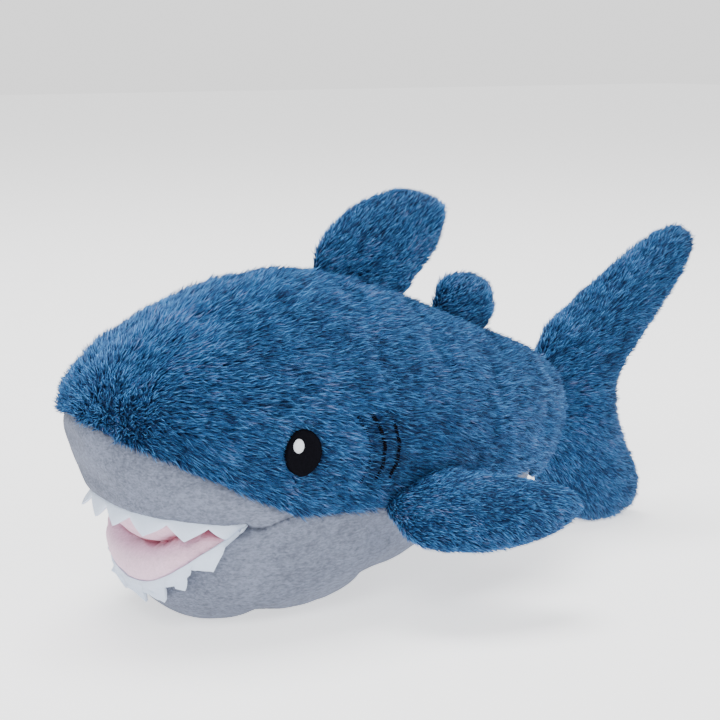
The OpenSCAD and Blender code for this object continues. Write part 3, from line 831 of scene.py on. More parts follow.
class PLUSH_OT_fins(bpy.types.Operator):
    """Makes the padded fins and the tail"""
    bl_idname = "plush.fins"
    bl_label = "Fins and tail"

    def execute(self, context):
        for body, (_, nodes) in FINS.items():
            root, seam, out = fin_frame(body)
            skin = fin_skin(body + "_skin", nodes, 1.8 * MM, root, out, 5.5 * MM)
            points = points_of(skin.data)
            rest = (points - np.array(root)) @ np.array(out)
            pinned = 0.9 * (1 - smooth_step(1 * MM, 6 * MM, rest))
            stuffed(skin, pinned, 1.2 * MM, 3.0, 0.0)
            subdivided(skin)
            made[body] = skin
        seam = Vector(JOINTS["tail_sway"]["pos_m"])
        tail = joined_copy("tail_skin", ["tail_panel_left", "tail_panel_right", "tail_stuffing"])
        voxel_remeshed(tail, 2.8 * MM)
        outer_shell(tail)
        smooth_skin(tail, 5)
        points = points_of(tail.data)
        reach, pull = 12 * MM, 16 * MM
        above, below = 28 * MM, 35 * MM
        near = 1 - smooth_step(0, reach, points[:, 1] - seam.y)
        rise = points[:, 2] - seam.z + 8 * MM
        level = np.exp(-(rise / np.where(rise > 0, above, below)) ** 4)
        points[:, 1] -= pull * near * level
        move_points(tail.data, points)
        stuffed(tail, 0.9 * near, 1.5 * MM, 3.0, 0.01)
        subdivided(tail)
        points = points_of(tail.data)
        points[:, 2] = np.maximum(points[:, 2], 0.5 * MM)
        move_points(tail.data, points)
        made["tail"] = tail
        return {"FINISHED"}


class PLUSH_OT_fins_finish(bpy.types.Operator):
    """Finishes the fins and the tail and hangs them on the frame"""
    bl_idname = "plush.fins_finish"
    bl_label = "Finish the fins and tail"

    def execute(self, context):
        for body in list(FINS) + ["tail"]:
            piece = made[body]
            dressed(piece, "backing")
            if body == "tail":
                nodes = ["tail_panel_left", "tail_panel_right"]
            else:
                nodes = FINS[body][1][:2]
            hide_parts(*nodes)
            hang_on_seam(piece, body)
        return {"FINISHED"}


def hang_on_seam(piece, body):
    """Bends a fin's or the tail's piece at its seam with the body."""
    if body == "tail":
        seam = Vector(JOINTS["tail_sway"]["pos_m"])
        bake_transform(piece, "torso", "tail", start=seam + Vector((0, -6 * MM, 0)),
                 end=seam + Vector((0, 10 * MM, 0)))
        return
    root, _, out = fin_frame(body)
    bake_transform(piece, "torso", body, start=root - 3 * MM * out, end=root + 6 * MM * out)


# ---- long pile


def strand(nodes, segments):
    """A tapered strand with three sides, 1 long along Z, with its height as a value."""
    cone = nodes.wire("GeometryNodeMeshCone", {"fill_type": "NGON"},
                      {"Vertices": 3, "Side Segments": segments, "Radius Top": 0.0,
                       "Radius Bottom": 1.0, "Depth": 1.0}, "Mesh")
    place = nodes.wire("GeometryNodeInputPosition", None, None)
    parts = nodes.add("ShaderNodeSeparateXYZ", None, {"Vector": place})
    x, y, height = (Wire(nodes, parts.outputs[i]) for i in range(3))
    stored = nodes.wire("GeometryNodeStoreNamedAttribute",
                        {"data_type": "FLOAT", "domain": "POINT"},
                        {"Geometry": cone, "Name": "height", "Value": height}, "Geometry")
    side = nodes.wire("GeometryNodeStoreNamedAttribute",
                      {"data_type": "FLOAT", "domain": "POINT"},
                      {"Geometry": stored, "Name": "side", "Value": y}, "Geometry")
    swell = height * (1 - height) * 2.4 + 1
    shaped = nodes.wire("ShaderNodeCombineXYZ", None,
                        {"X": x * swell, "Y": y * swell, "Z": height})
    return nodes.wire("GeometryNodeSetPosition", None,
                      {"Geometry": side, "Position": shaped}, "Geometry")


def pile_tree():
    """Bent locks and fine hairs over a skin, laid along its comb attribute."""
    tree = bpy.data.node_groups.new("Long pile", "GeometryNodeTree")
    for name, kind in (("Skin", "Geometry"), ("Locks", "Float"), ("Hairs", "Float"),
                       ("Length", "Float"), ("Width", "Float"), ("Lift", "Float"),
                       ("Ruffle", "Float"), ("Stray", "Float"), ("Bend", "Float"),
                       ("Seed", "Int"), ("Material", "Material")):
        tree.interface.new_socket(name, in_out="INPUT", socket_type="NodeSocket" + kind)
    tree.interface.new_socket("Pile", in_out="OUTPUT", socket_type="NodeSocketGeometry")
    nodes = Nodes(tree)
    given = nodes.add("NodeGroupInput")

    def value(name):
        return Wire(nodes, given.outputs[name])

    def attribute(name, kind="FLOAT"):
        return nodes.wire("GeometryNodeInputNamedAttribute", {"data_type": kind},
                          {"Name": name}, "Attribute")

    def vector(operation, first, second=None, scale=None):
        inputs = {0: first}
        if second is not None:
            inputs[1] = second
        if scale is not None:
            inputs["Scale"] = scale
        return nodes.wire("ShaderNodeVectorMath", {"operation": operation}, inputs)

    def chance(low, high, seed):
        return nodes.wire("FunctionNodeRandomValue", {"data_type": "FLOAT"},
                          {"Min": low, "Max": high, "Seed": seed}, "Value")

    def noise_at(scale, detail, output):
        return nodes.wire("ShaderNodeTexNoise", None,
                          {"Vector": place, "Scale": scale, "Detail": detail}, output)

    def stored(geometry, name, kind, amount, domain="POINT"):
        return nodes.wire("GeometryNodeStoreNamedAttribute",
                          {"data_type": kind, "domain": domain},
                          {"Geometry": geometry, "Name": name, "Value": amount}, "Geometry")

    place = nodes.wire("GeometryNodeInputPosition")
    middle = (0.5, 0.5, 0.5)
    ruffle = vector("SCALE", vector("SUBTRACT", noise_at(260.0, 1.0, "Color"), middle),
                    scale=value("Ruffle"))
    sweep = vector("SCALE", vector("SUBTRACT", noise_at(60.0, 1.0, "Color"), middle),
                   scale=value("Ruffle") * 0.8)
    mottle = noise_at(130.0, 2.0, "Fac")
    drift = noise_at(28.0, 1.0, "Fac")

    def layer(density, segments, breadth, reach, seed):
        """Strands of one kind over the skin."""
        scattered = nodes.add("GeometryNodeDistributePointsOnFaces",
                              {"distribute_method": "RANDOM"},
                              {"Mesh": value("Skin"),
                               "Density": value(density) * attribute("cover"),
                               "Seed": value("Seed") + seed})
        points = Wire(nodes, scattered.outputs["Points"])
        normal = Wire(nodes, scattered.outputs["Normal"])
        each_way = nodes.wire("FunctionNodeRandomValue", {"data_type": "FLOAT_VECTOR"},
                              {"Min": (-1, -1, -1), "Max": (1, 1, 1), "Seed": seed + 5}, "Value")
        stray = vector("SCALE", each_way, scale=value("Stray"))
        lean = vector("ADD", attribute("comb", "FLOAT_VECTOR"),
                      vector("SCALE", normal, scale=value("Lift")))
        way = vector("NORMALIZE", vector("ADD", vector("ADD", lean, ruffle),
                                         vector("ADD", sweep, stray)))
        upright = nodes.wire("FunctionNodeAlignRotationToVector", {"axis": "Z"}, {"Vector": way})
        turned = nodes.wire("FunctionNodeAlignRotationToVector",
                            {"axis": "X", "pivot_axis": "Z"},
                            {"Rotation": upright, "Vector": normal})
        width = value("Width") * chance(0.75, 1.3, seed + 11) * breadth
        length = value("Length") * attribute("pile") * chance(0.65, 1.2, seed + 12) * reach
        scale = nodes.wire("ShaderNodeCombineXYZ", None, {"X": width, "Y": width, "Z": length})
        tone = chance(0.0, 0.75, seed + 13) + (mottle - 0.3) * 0.55 + (drift - 0.4) * 0.3
        toned = stored(points, "tone", "FLOAT", tone)
        toned = stored(toned, "up", "FLOAT_VECTOR", normal)
        toned = stored(toned, "long", "FLOAT", length)
        placed = nodes.wire("GeometryNodeInstanceOnPoints", None,
                            {"Points": toned, "Instance": strand(nodes, segments),
                             "Rotation": turned, "Scale": scale}, "Instances")
        return nodes.wire("GeometryNodeRealizeInstances", None, {"Geometry": placed}, "Geometry")

    both = nodes.add("GeometryNodeJoinGeometry")
    for strands in (layer("Hairs", 1, 0.9, 0.95, 100), layer("Locks", 2, 1.1, 1.0, 0)):
        tree.links.new(strands.socket, both.inputs[0])
    droop = attribute("height") * attribute("height") * attribute("long") * value("Bend") * -1
    bent = nodes.wire("GeometryNodeSetPosition", None,
                      {"Geometry": Wire(nodes, both.outputs[0]),
                       "Offset": vector("SCALE", attribute("up", "FLOAT_VECTOR"), scale=droop)},
                      "Geometry")
    parts = nodes.add("ShaderNodeSeparateXYZ", None, {"Vector": place})
    above = nodes.wire("ShaderNodeMath", {"operation": "MAXIMUM"},
                       {0: Wire(nodes, parts.outputs[2]), 1: 0.15 * MM})
    kept = nodes.wire("ShaderNodeCombineXYZ", None,
                      {"X": Wire(nodes, parts.outputs[0]), "Y": Wire(nodes, parts.outputs[1]),
                       "Z": above})
    bent = nodes.wire("GeometryNodeSetPosition", None, {"Geometry": bent, "Position": kept},
                      "Geometry")
    u = nodes.wire("ShaderNodeClamp", None,
                   {"Value": attribute("tone") + attribute("side") * 0.004,
                    "Min": 0.005, "Max": 0.995})
    corner = nodes.wire("ShaderNodeCombineXYZ", None,
                        {"X": u, "Y": 0.02 + attribute("height") * 0.96})
    mapped = stored(bent, "OFBake", "FLOAT2", corner, "CORNER")
    for name in ("tone", "up", "long", "side", "height", "comb", "pile", "cover"):
        mapped = nodes.wire("GeometryNodeRemoveAttribute", None,
                            {"Geometry": mapped, "Name": name}, "Geometry")
    clothed = nodes.wire("GeometryNodeSetMaterial", None,
                         {"Geometry": mapped, "Material": value("Material")}, "Geometry")
    nodes.add("NodeGroupOutput", None, {"Pile": clothed})
    return tree


def set_input(modifier, name, value):
    """Sets a modifier's input by its socket's identifier."""
    for item in modifier.node_group.interface.items_tree:
        if item.item_type == "SOCKET" and item.in_out == "INPUT" and item.name == name:
            modifier[item.identifier] = value
            return
    raise KeyError(name)


def store(mesh, name, kind, values):
    """Stores values at a mesh's vertices."""
    attribute = mesh.attributes.new(name, kind, "POINT")
    key = "vector" if kind == "FLOAT_VECTOR" else "value"
    attribute.data.foreach_set(key, np.asarray(values, np.float32).ravel())


def grow_pile(name, skin, comb, pile, cover, seed, firm=1.0):
    """A mesh of pile that grows from a skin, combed more firmly or less."""
    size = bpy.context.scene.plush_shark
    soil = new_object(name, skin.data.copy())
    for extra in list(soil.data.attributes):
        if extra.name.startswith("_FK"):
            soil.data.attributes.remove(extra)
    soil.data.materials.clear()
    normals = normals_of(soil.data)
    along = comb - (comb * normals).sum(1)[:, None] * normals
    firm = np.broadcast_to(firm, len(along))
    store(soil.data, "comb", "FLOAT_VECTOR", unit_rows(along) * firm[:, None])
    store(soil.data, "pile", "FLOAT", pile)
    store(soil.data, "cover", "FLOAT", cover)
    if "pile tree" not in made:
        made["pile tree"] = pile_tree()
    strands = soil.modifiers.new("Long pile", "NODES")
    strands.node_group = made["pile tree"]
    set_input(strands, "Locks", size.lock_density)
    set_input(strands, "Hairs", size.hair_density)
    set_input(strands, "Length", size.pile_length)
    set_input(strands, "Width", size.strand_width / 2)
    set_input(strands, "Lift", size.pile_lift)
    set_input(strands, "Ruffle", size.pile_ruffle)
    set_input(strands, "Stray", size.pile_stray)
    set_input(strands, "Bend", size.pile_bend)
    set_input(strands, "Seed", seed)
    set_input(strands, "Material", finish_of("pile"))
    applied(soil)
    soil.data.shade_smooth()
    return soil


def slice_of(skin, name, keep):
    """A temporary copy of a skin with only the faces whose middles are kept."""
    shell = bmesh.new()
    shell.from_mesh(skin.data)
    drop = [f for f in shell.faces if not keep(f.calc_center_median())]
    bmesh.ops.delete(shell, geom=drop, context="FACES")
    mesh = bpy.data.meshes.new(name)
    shell.to_mesh(mesh)
    shell.free()
    return new_object(name, mesh)


def eye_places():
    """For each eye: its middle on the skin, the way out, and its two directions along the skin."""
    places = {}
    for side in ("left", "right"):
        low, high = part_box("eye_" + side)
        centre = (low + high) / 2
        near, normal, _, _ = made["skin tree"].find_nearest(centre)
        along = Vector((0, 1, 0)) - Vector((0, 1, 0)).dot(normal) * normal
        along.normalize()
        up = normal.cross(along)
        if up.z < 0:
            up = -up
        places[side] = (near, normal, along, up)
    return places


BACK_CUTS = (0.36, 0.68)
BACK_SEED = 3
FIN_SEED = 41
TAIL_SEED = 61
BROW_HEIGHT = 79.5 * MM
NOSE_BARE = 9 * MM


class PLUSH_OT_pile(bpy.types.Operator):
    """Grows the long pile over the back, the fins and the tail"""
    bl_idname = "plush.pile"
    bl_label = "Long pile"

    def execute(self, context):
        size = context.scene.plush_shark
        eyes = eye_places()
        low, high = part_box("back_panel_left")
        cuts = [low.y + share * (high.y - low.y) for share in BACK_CUTS]
        for number, side in enumerate(("left", "right")):
            skin = made["back_" + side]
            for part, (start, end) in enumerate(zip([-1] + cuts, cuts + [1])):
                area = slice_of(skin, "area", lambda c: start <= c.y < end)
                points = points_of(area.data)
                comb, pile, cover, firm = self.body_fields(points, eyes[side], side, size)
                fur = grow_pile(f"back_pile_{side}_{part + 1}", area, comb, pile, cover,
                                BACK_SEED + number * 10 + part, firm)
                bpy.data.objects.remove(area)
                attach(fur, "torso")
        for number, body in enumerate(list(FINS) + ["tail"]):
            skin = made[body]
            if body == "tail":
                self.tail_pile(skin)
                continue
            points = points_of(skin.data)
            root, _, out = fin_frame(body)
            comb = np.tile(np.array(out), (len(points), 1))
            if comb[0][1] < 0.9:
                comb = comb + np.array((0, 0.55, 0))
            height = (points - np.array(root)) @ np.array(out)
            cover = smooth_step(-2 * MM, 0, height)
            pile = (0.62 if body.startswith("side") else 0.72) + 0 * height
            fur = grow_pile(body + "_pile", skin, comb, pile, cover, FIN_SEED + number)
            hang_on_seam(fur, body)
        return {"FINISHED"}

    def tail_pile(self, skin):
        seam = Vector(JOINTS["tail_sway"]["pos_m"])
        for number, (side, sign) in enumerate((("left", 1), ("right", -1))):
            half = slice_of(skin, "half", lambda c: c.x * sign >= 0)
            points = points_of(half.data)
            away = points - np.array((0, seam.y - 25 * MM, seam.z))
            away[:, 0] = 0
            comb = unit_rows(away)
            cover = smooth_step(-13 * MM, -11 * MM, points[:, 1] - seam.y)
            fur = grow_pile("tail_pile_" + side, half, comb, 0.85 + 0 * cover, cover,
                            TAIL_SEED + number)
            bpy.data.objects.remove(half)
            hang_on_seam(fur, "tail")

    def body_fields(self, points, eye, side, size):
        """Comb direction, length share and cover of the pile on the back."""
        centre, normal, along, up = eye
        comb = np.tile(np.array((0.0, 1.0, 0.0)), (len(points), 1))
        low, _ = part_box("back_panel_left")
        sideways = smooth_step(0, 35 * MM, np.abs(points[:, 0]))
        comb[:, 2] -= 0.35 * sideways
        gap = points - np.array(centre)
        a = gap @ np.array(along) / (size.eye_width / 2)
        b = gap @ np.array(up) / (size.eye_height / 2)
        off = np.abs(gap @ np.array(normal)) < 15 * MM
        radius = np.sqrt(a * a + b * b) + np.where(off, 0, 9)
        cover = smooth_step(0.93, 1.0, radius)
        ahead = smooth_step(0.2, -0.3, a / np.maximum(radius, 0.1))
        pile = 1 - 0.62 * (1 - smooth_step(1.1, 1.8, radius)) * (0.35 + 0.65 * ahead)
        behind_nose = points[:, 1] - low.y
        firm = 0.3 + 0.7 * smooth_step(4 * MM, 34 * MM, behind_nose)
        comb[:, 2] += 0.5 * (1 - smooth_step(4 * MM, 30 * MM, behind_nose))
        pile *= 0.78 + 0.22 * smooth_step(2 * MM, 30 * MM, behind_nose)
        cover *= 1 - (behind_nose < NOSE_BARE) * (points[:, 2] < BROW_HEIGHT)
        gills = node_distances(points, ["gill_stitches_" + side])
        bare = 1 - smooth_step(0.8 * MM, 2.4 * MM, gills)
        upper = smooth_step(60 * MM, 70 * MM, points[:, 2])
        cover *= 1 - bare * (0.45 + 0.4 * upper)
        pile *= 1 - bare * 0.35
        return comb, pile, cover, firm


# ---- teeth


def along_line(line, places):
    """Points at these shares of a smoothed line's length."""
    for _ in range(10):
        line = np.vstack([line[:1], (line[:-2] + line[1:-1] + line[2:]) / 3, line[-1:]])
    ends = unit_rows(np.array([line[0] - line[6], line[-1] - line[-7]])) * 2.2 * MM
    line = np.vstack([line[:1] + ends[:1], line, line[-1:] + ends[1:]])
    run = np.concatenate([[0], np.cumsum(np.linalg.norm(np.diff(line, axis=0), axis=1))])
    wanted = places * run[-1]
    return np.stack([np.interp(wanted, run, line[:, i]) for i in range(3)], axis=1)


def tooth_places(count, first, last, lean):
    """Places from -1 to 1 along a row, and the share of a tooth's length at each."""
    places, shares = [-0.995, (first - 0.995) / 2], [0.0, 0.0]
    pitch = (last - first) / count
    for tooth in range(count):
        start = first + pitch * tooth
        tip = lean if start + pitch / 2 > 0 else 1 - lean
        for step in np.linspace(0, tip, 7)[:-1]:
            places.append(start + pitch * step)
            shares.append((step / tip) ** 0.88)
        for step in np.linspace(tip, 1, 7)[:-1]:
            places.append(start + pitch * step)
            shares.append(((1 - step) / (1 - tip)) ** 0.88)
    places += [last, (0.995 + last) / 2, 0.995]
    return np.array(places), np.array(shares + [0.0, 0.0, 0.0])


def slab(name, front, back):
    """A closed sheet between two grids of points of the same size."""
    columns, rows = len(front), len(front[0])
    points = [p for r in front for p in r] + [p for r in back for p in r]
    inner = columns * rows
    faces = []
    for i in range(columns - 1):
        for j in range(rows - 1):
            a, b = i * rows + j, i * rows + j + 1
            c, d = b + rows, a + rows
            faces.append((a, b, c, d))
            faces.append((inner + d, inner + c, inner + b, inner + a))
        for a in (i * rows, i * rows + rows - 1):
            faces.append((a, a + rows, inner + a + rows, inner + a))
    for a in list(range(rows - 1)) + [(columns - 1) * rows + j for j in range(rows - 1)]:
        faces.append((a, a + 1, inner + a + 1, inner + a))
    return new_object(name, facing_out(mesh_from(name, points, faces)))


def facing_out(mesh):
    """Turns a closed mesh's faces outwards."""
    shell = bmesh.new()
    shell.from_mesh(mesh)
    bmesh.ops.recalc_face_normals(shell, faces=shell.faces)
    shell.to_mesh(mesh)
    shell.free()
    return mesh


class PLUSH_OT_teeth(bpy.types.Operator):
    """Cuts and hangs the two rows of felt teeth"""
    bl_idname = "plush.teeth"
    bl_label = "Felt teeth"

    def execute(self, context):
        size = context.scene.plush_shark
        places, shares = tooth_places(size.upper_teeth, -0.9, 0.985, 0.42)
        reach = self.reach(places, shares, size.upper_tooth_length, size.upper_tooth_band)
        self.row("upper_felt_teeth", "upper", places, reach, size.felt_thickness)
        places, shares = tooth_places(size.lower_teeth, -0.79, 0.79, 0.7)
        reach = self.reach(places, shares, size.lower_tooth_length, size.lower_tooth_band)
        self.row("lower_felt_teeth", "lower", places, reach, size.felt_thickness)
        return {"FINISHED"}

    def reach(self, places, shares, longest, band):
        """Length of the felt at each place of a row."""
        return (band + (longest - band) * shares) * (1 - 0.4 * np.abs(places) ** 3)

    def row(self, name, lip, places, reach, felt):
        rows = 8
        line = along_line(made["lips"][lip], (places + 1) / 2)
        along = unit_rows(np.gradient(line, axis=0))
        front, back = [], []
        for point, way, place, run in zip(line, along, places, reach):
            point = Vector(point)
            outwards = Vector((way[1], -way[0], 0)).normalized()
            towards = Vector((point.x, -30 * MM, 0))
            if outwards.dot(towards) < 0:
                outwards = -outwards
            maker = self.upper_spot if lip == "upper" else self.lower_spot
            pairs = [maker(point, outwards, place, run, j / (rows - 1)) for j in range(rows)]
            back.append([spot for spot, _ in pairs])
            front.append([spot + face * felt for spot, face in pairs])
        piece = slab(name, front, back)
        edge = piece.modifiers.new("Soft edge", "BEVEL")
        edge.width = 0.28 * MM
        edge.segments = 2
        edge.limit_method = "ANGLE"
        applied(piece)
        dressed(piece, "felt")
        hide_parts(lip + "_teeth")
        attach(piece, "torso" if lip == "upper" else "jaw")

    def upper_spot(self, point, outwards, place, run, share):
        """Felt that hangs from the upper lip and curls out at the far front."""
        curl = 0.22 + 0.5 * math.exp(-((place + 0.4) / 0.28) ** 2) * share
        down = (Vector((0, 0, -1)) + outwards * curl).normalized()
        start = point - outwards * 0.5 * MM + Vector((0, 0, 0.9 * MM))
        bow = 0.5 * MM * math.sin(math.pi * share)
        return start + down * run * share + outwards * bow, outwards

    def lower_spot(self, point, outwards, place, run, share):
        """Felt that lies over the chin, with its tips standing off a little."""
        if share == 0:
            return point + outwards * 0.4 * MM + Vector((0, 0, 0.5 * MM)), outwards
        guess = point + Vector((0, 0, -1)) * run * share * 0.97 + outwards * 1.2 * MM
        near, normal, _, _ = made["skin tree"].find_nearest(guess)
        front = math.exp(-(place / 0.55) ** 4)
        clear = (0.5 + (0.9 + 1.6 * front) * share ** 1.6) * MM
        return near + normal * clear, normal


# ---- embroidery


def on_skin(point, direction):
    """The skin's point and normal on a line through a point."""
    tree = made["skin tree"]
    hit, normal, _, _ = tree.ray_cast(point + direction * 15 * MM, -direction, 40 * MM)
    if hit is None:
        hit, normal, _, _ = tree.find_nearest(point)
    return hit, normal


def satin_oval(name, place, across, high, base, crown, rim, pitch):
    """A stitched oval with ridges of thread and a raised rim."""
    centre, normal, along, up = place
    rings, spokes = 22, 96
    ridge, spoke_ridge, collar_rise, sunk = 0.06 * MM, 0.07 * MM, 0.35 * MM, -1.2 * MM
    points, faces = [], []

    def spot(r, angle, lift):
        flat = centre + along * (across * r * math.cos(angle)) + up * (high * r * math.sin(angle))
        hit, _ = on_skin(flat, normal)
        return hit + normal * lift

    points.append(spot(0, 0, base + crown))
    for ring in range(1, rings + 1):
        r = ring / rings
        for spoke in range(spokes):
            angle = 2 * math.pi * spoke / spokes
            x = across * r * math.cos(angle)
            y = high * r * math.sin(angle)
            edge = smooth_step(1 - 2.2 * rim / across, 1 - rim / across, np.float64(r))
            ridges = ridge * math.cos(2 * math.pi * (x + 0.1 * y) / pitch) * (1 - edge)
            spokes_ridge = spoke_ridge * math.cos(spoke * math.pi) * edge
            dome = crown * math.sqrt(max(0, 1 - r ** 6))
            collar = collar_rise * math.exp(-((r - 0.88) / 0.07) ** 2)
            points.append(spot(r, angle, base + dome + ridges + spokes_ridge + collar))
    for spoke in range(spokes):
        angle = 2 * math.pi * spoke / spokes
        points.append(spot(1, angle, sunk))
    points.append(spot(0, 0, sunk))
    for spoke in range(spokes):
        after = (spoke + 1) % spokes
        faces.append((0, 1 + spoke, 1 + after))
        for ring in range(rings):
            a, b = 1 + ring * spokes, 1 + (ring + 1) * spokes
            faces.append((a + spoke, b + spoke, b + after, a + after))
        last = 1 + rings * spokes
        faces.append((len(points) - 1, last + after, last + spoke))
    return new_object(name, facing_out(mesh_from(name, points, faces)))


class PLUSH_OT_eyes(bpy.types.Operator):
    """Stitches the eyes and their light spots"""
    bl_idname = "plush.eyes"
    bl_label = "Eyes"

    def execute(self, context):
        size = context.scene.plush_shark
        for side, (centre, normal, along, up) in eye_places().items():
            eye = satin_oval("eye_stitching_" + side, (centre, normal, along, up),
                             size.eye_width / 2, size.eye_height / 2, 1.3 * MM, 1.0 * MM,
                             1.3 * MM, 0.55 * MM)
            dressed(eye, "black")
            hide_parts("eye_" + side)
            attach(eye, "torso")
            low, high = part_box("eye_spot_" + side)
            middle, _ = on_skin((low + high) / 2, normal)
            spot = satin_oval("eye_light_" + side, (middle, normal, along, up),
                              size.spot_width / 2, size.spot_width * 0.64, 2.5 * MM, 0.35 * MM,
                              0.4 * MM, 0.5 * MM)
            dressed(spot, "white")
            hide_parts("eye_spot_" + side)
            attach(spot, "torso")
        return {"FINISHED"}


def stitch_tree():
    """A rounded stitch at each point of a path, along the point's own direction."""
    tree = bpy.data.node_groups.new("Stitches", "GeometryNodeTree")
    for name, kind in (("Path", "Geometry"), ("Thread", "Float"), ("Looseness", "Float"),
                       ("Seed", "Int"), ("Material", "Material")):
        tree.interface.new_socket(name, in_out="INPUT", socket_type="NodeSocket" + kind)
    tree.interface.new_socket("Stitches", in_out="OUTPUT", socket_type="NodeSocketGeometry")
    nodes = Nodes(tree)
    given = nodes.add("NodeGroupInput")
    way = nodes.wire("GeometryNodeInputNamedAttribute", {"data_type": "FLOAT_VECTOR"},
                     {"Name": "way"}, "Attribute")
    reach = nodes.wire("GeometryNodeInputNamedAttribute", {"data_type": "FLOAT"},
                       {"Name": "reach"}, "Attribute")
    thread = Wire(nodes, given.outputs["Thread"])
    astray = nodes.wire("FunctionNodeRandomValue", {"data_type": "FLOAT_VECTOR"},
                        {"Min": (-1, -1, -1), "Max": (1, 1, 1),
                         "Seed": Wire(nodes, given.outputs["Seed"])}, "Value")
    loose = nodes.wire("ShaderNodeVectorMath", {"operation": "SCALE"},
                       {0: astray, "Scale": Wire(nodes, given.outputs["Looseness"])})
    turned = nodes.wire("ShaderNodeVectorMath", {"operation": "ADD"}, {0: way, 1: loose})
    facing = nodes.wire("FunctionNodeAlignRotationToVector", {"axis": "Z"}, {"Vector": turned})
    scale = nodes.wire("ShaderNodeCombineXYZ", None,
                       {"X": thread * 0.5, "Y": thread * 0.5, "Z": reach * 0.5})
    ball = nodes.wire("GeometryNodeMeshIcoSphere", None, {"Radius": 1.0, "Subdivisions": 2},
                      "Mesh")
    placed = nodes.wire("GeometryNodeInstanceOnPoints", None,
                        {"Points": Wire(nodes, given.outputs["Path"]), "Instance": ball,
                         "Rotation": facing, "Scale": scale}, "Instances")
    real = nodes.wire("GeometryNodeRealizeInstances", None, {"Geometry": placed}, "Geometry")
    for name in ("way", "reach"):
        real = nodes.wire("GeometryNodeRemoveAttribute", None,
                          {"Geometry": real, "Name": name}, "Geometry")
    clothed = nodes.wire("GeometryNodeSetMaterial", None,
                         {"Geometry": real, "Material": Wire(nodes, given.outputs["Material"])},
                         "Geometry")
    nodes.add("NodeGroupOutput", None, {"Stitches": clothed})
    return tree


def sewn(name, stitches, thread, looseness, finish):
    """A piece with a stitch for each middle, direction and length."""
    middles, ways, lengths = (list(column) for column in zip(*stitches))
    row = new_object(name, mesh_from(name, middles, []))
    store(row.data, "way", "FLOAT_VECTOR", [tuple(w) for w in ways])
    store(row.data, "reach", "FLOAT", lengths)
    if "stitch tree" not in made:
        made["stitch tree"] = stitch_tree()
    sewing = row.modifiers.new("Stitches", "NODES")
    sewing.node_group = made["stitch tree"]
    set_input(sewing, "Thread", thread)
    set_input(sewing, "Looseness", looseness)
    set_input(sewing, "Seed", 7)
    set_input(sewing, "Material", finish_of(finish))
    applied(row)
    row.data.shade_smooth()
    return row


class PLUSH_OT_stitches(bpy.types.Operator):
    """Stitches the gill marks and closes the belly's seam"""
    bl_idname = "plush.stitches"
    bl_label = "Gill marks and closing stitches"

    def execute(self, context):
        size = context.scene.plush_shark
        for side, sign in (("left", 1), ("right", -1)):
            out = Vector((sign, 0, 0))
            stitches = []
            for middle, way, length in parts_of("gill_stitches_" + side):
                for step in range(8):
                    spot, normal = on_skin(middle + way * length * (step - 3.5) / 7.4, out)
                    across = normal.cross(way).normalized() + 0.25 * way
                    stitches.append((spot + normal * 0.9 * MM, across, size.gill_width))
            piece = sewn("gill_thread_" + side, stitches, 0.85 * MM, 0.12, "black")
            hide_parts("gill_stitches_" + side)
            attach(piece, "torso")
        stitches = []
        for middle, way, length in parts_of("closing_stitches"):
            near, normal, _, _ = made["skin tree"].find_nearest(middle)
            flat = (way - way.dot(normal) * normal).normalized()
            stitches.append((near + normal * 0.35 * MM, flat, length))
        piece = sewn("closing_thread", stitches, 0.9 * MM, 0.1, "grey thread")
        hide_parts("closing_stitches")
        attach(piece, "torso")
        return {"FINISHED"}


# ---- filling


FILLINGS = (
    ("body", "torso", 3.6), ("jaw", "jaw", 2.0), ("tail", "tail", 2.4),
    ("dorsal_fin", "dorsal_fin", 1.8), ("rear_fin", "rear_fin", 1.4),
    ("side_fin_left", "side_fin_left", 1.8), ("side_fin_right", "side_fin_right", 1.8),
)


class PLUSH_OT_filling(bpy.types.Operator):
    """Fills the body, the jaw, the fins and the tail with loose fibre"""
    bl_idname = "plush.filling"
    bl_label = "Fibre filling"

    def execute(self, context):
        for name, body, voxel in FILLINGS:
            node = name + "_stuffing"
            if name.startswith("side_fin"):
                node = name.replace("side_fin_", "side_fin_stuffing_")
            wad = joined_copy(name + "_fibre", [node])
            voxel_remeshed(wad, voxel * MM)
            outer_shell(wad)
            smooth_skin(wad, 3)
            subdivided(wad)
            points = points_of(wad.data)
            tufts = np.array([wisp.noise(Vector(p) * 160) + 0.5 * wisp.noise(Vector(p) * 420)
                              for p in points])
            sink = (0.55 + 0.5 * tufts) * 0.35 * voxel * MM
            move_points(wad.data, points - normals_of(wad.data) * np.maximum(sink, 0)[:, None])
            dressed(wad, "fibre")
            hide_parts(node)
            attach(wad, body)
        return {"FINISHED"}


# ---- the stage


FLOOR_HALF = 6
SKY_STRENGTH = 0.62
SEEN_SKY_STRENGTH = 0.9
CAMERA_AZIMUTH = 57
CAMERA_ELEVATION = 11.8
CAMERA_DISTANCE = 604 * MM


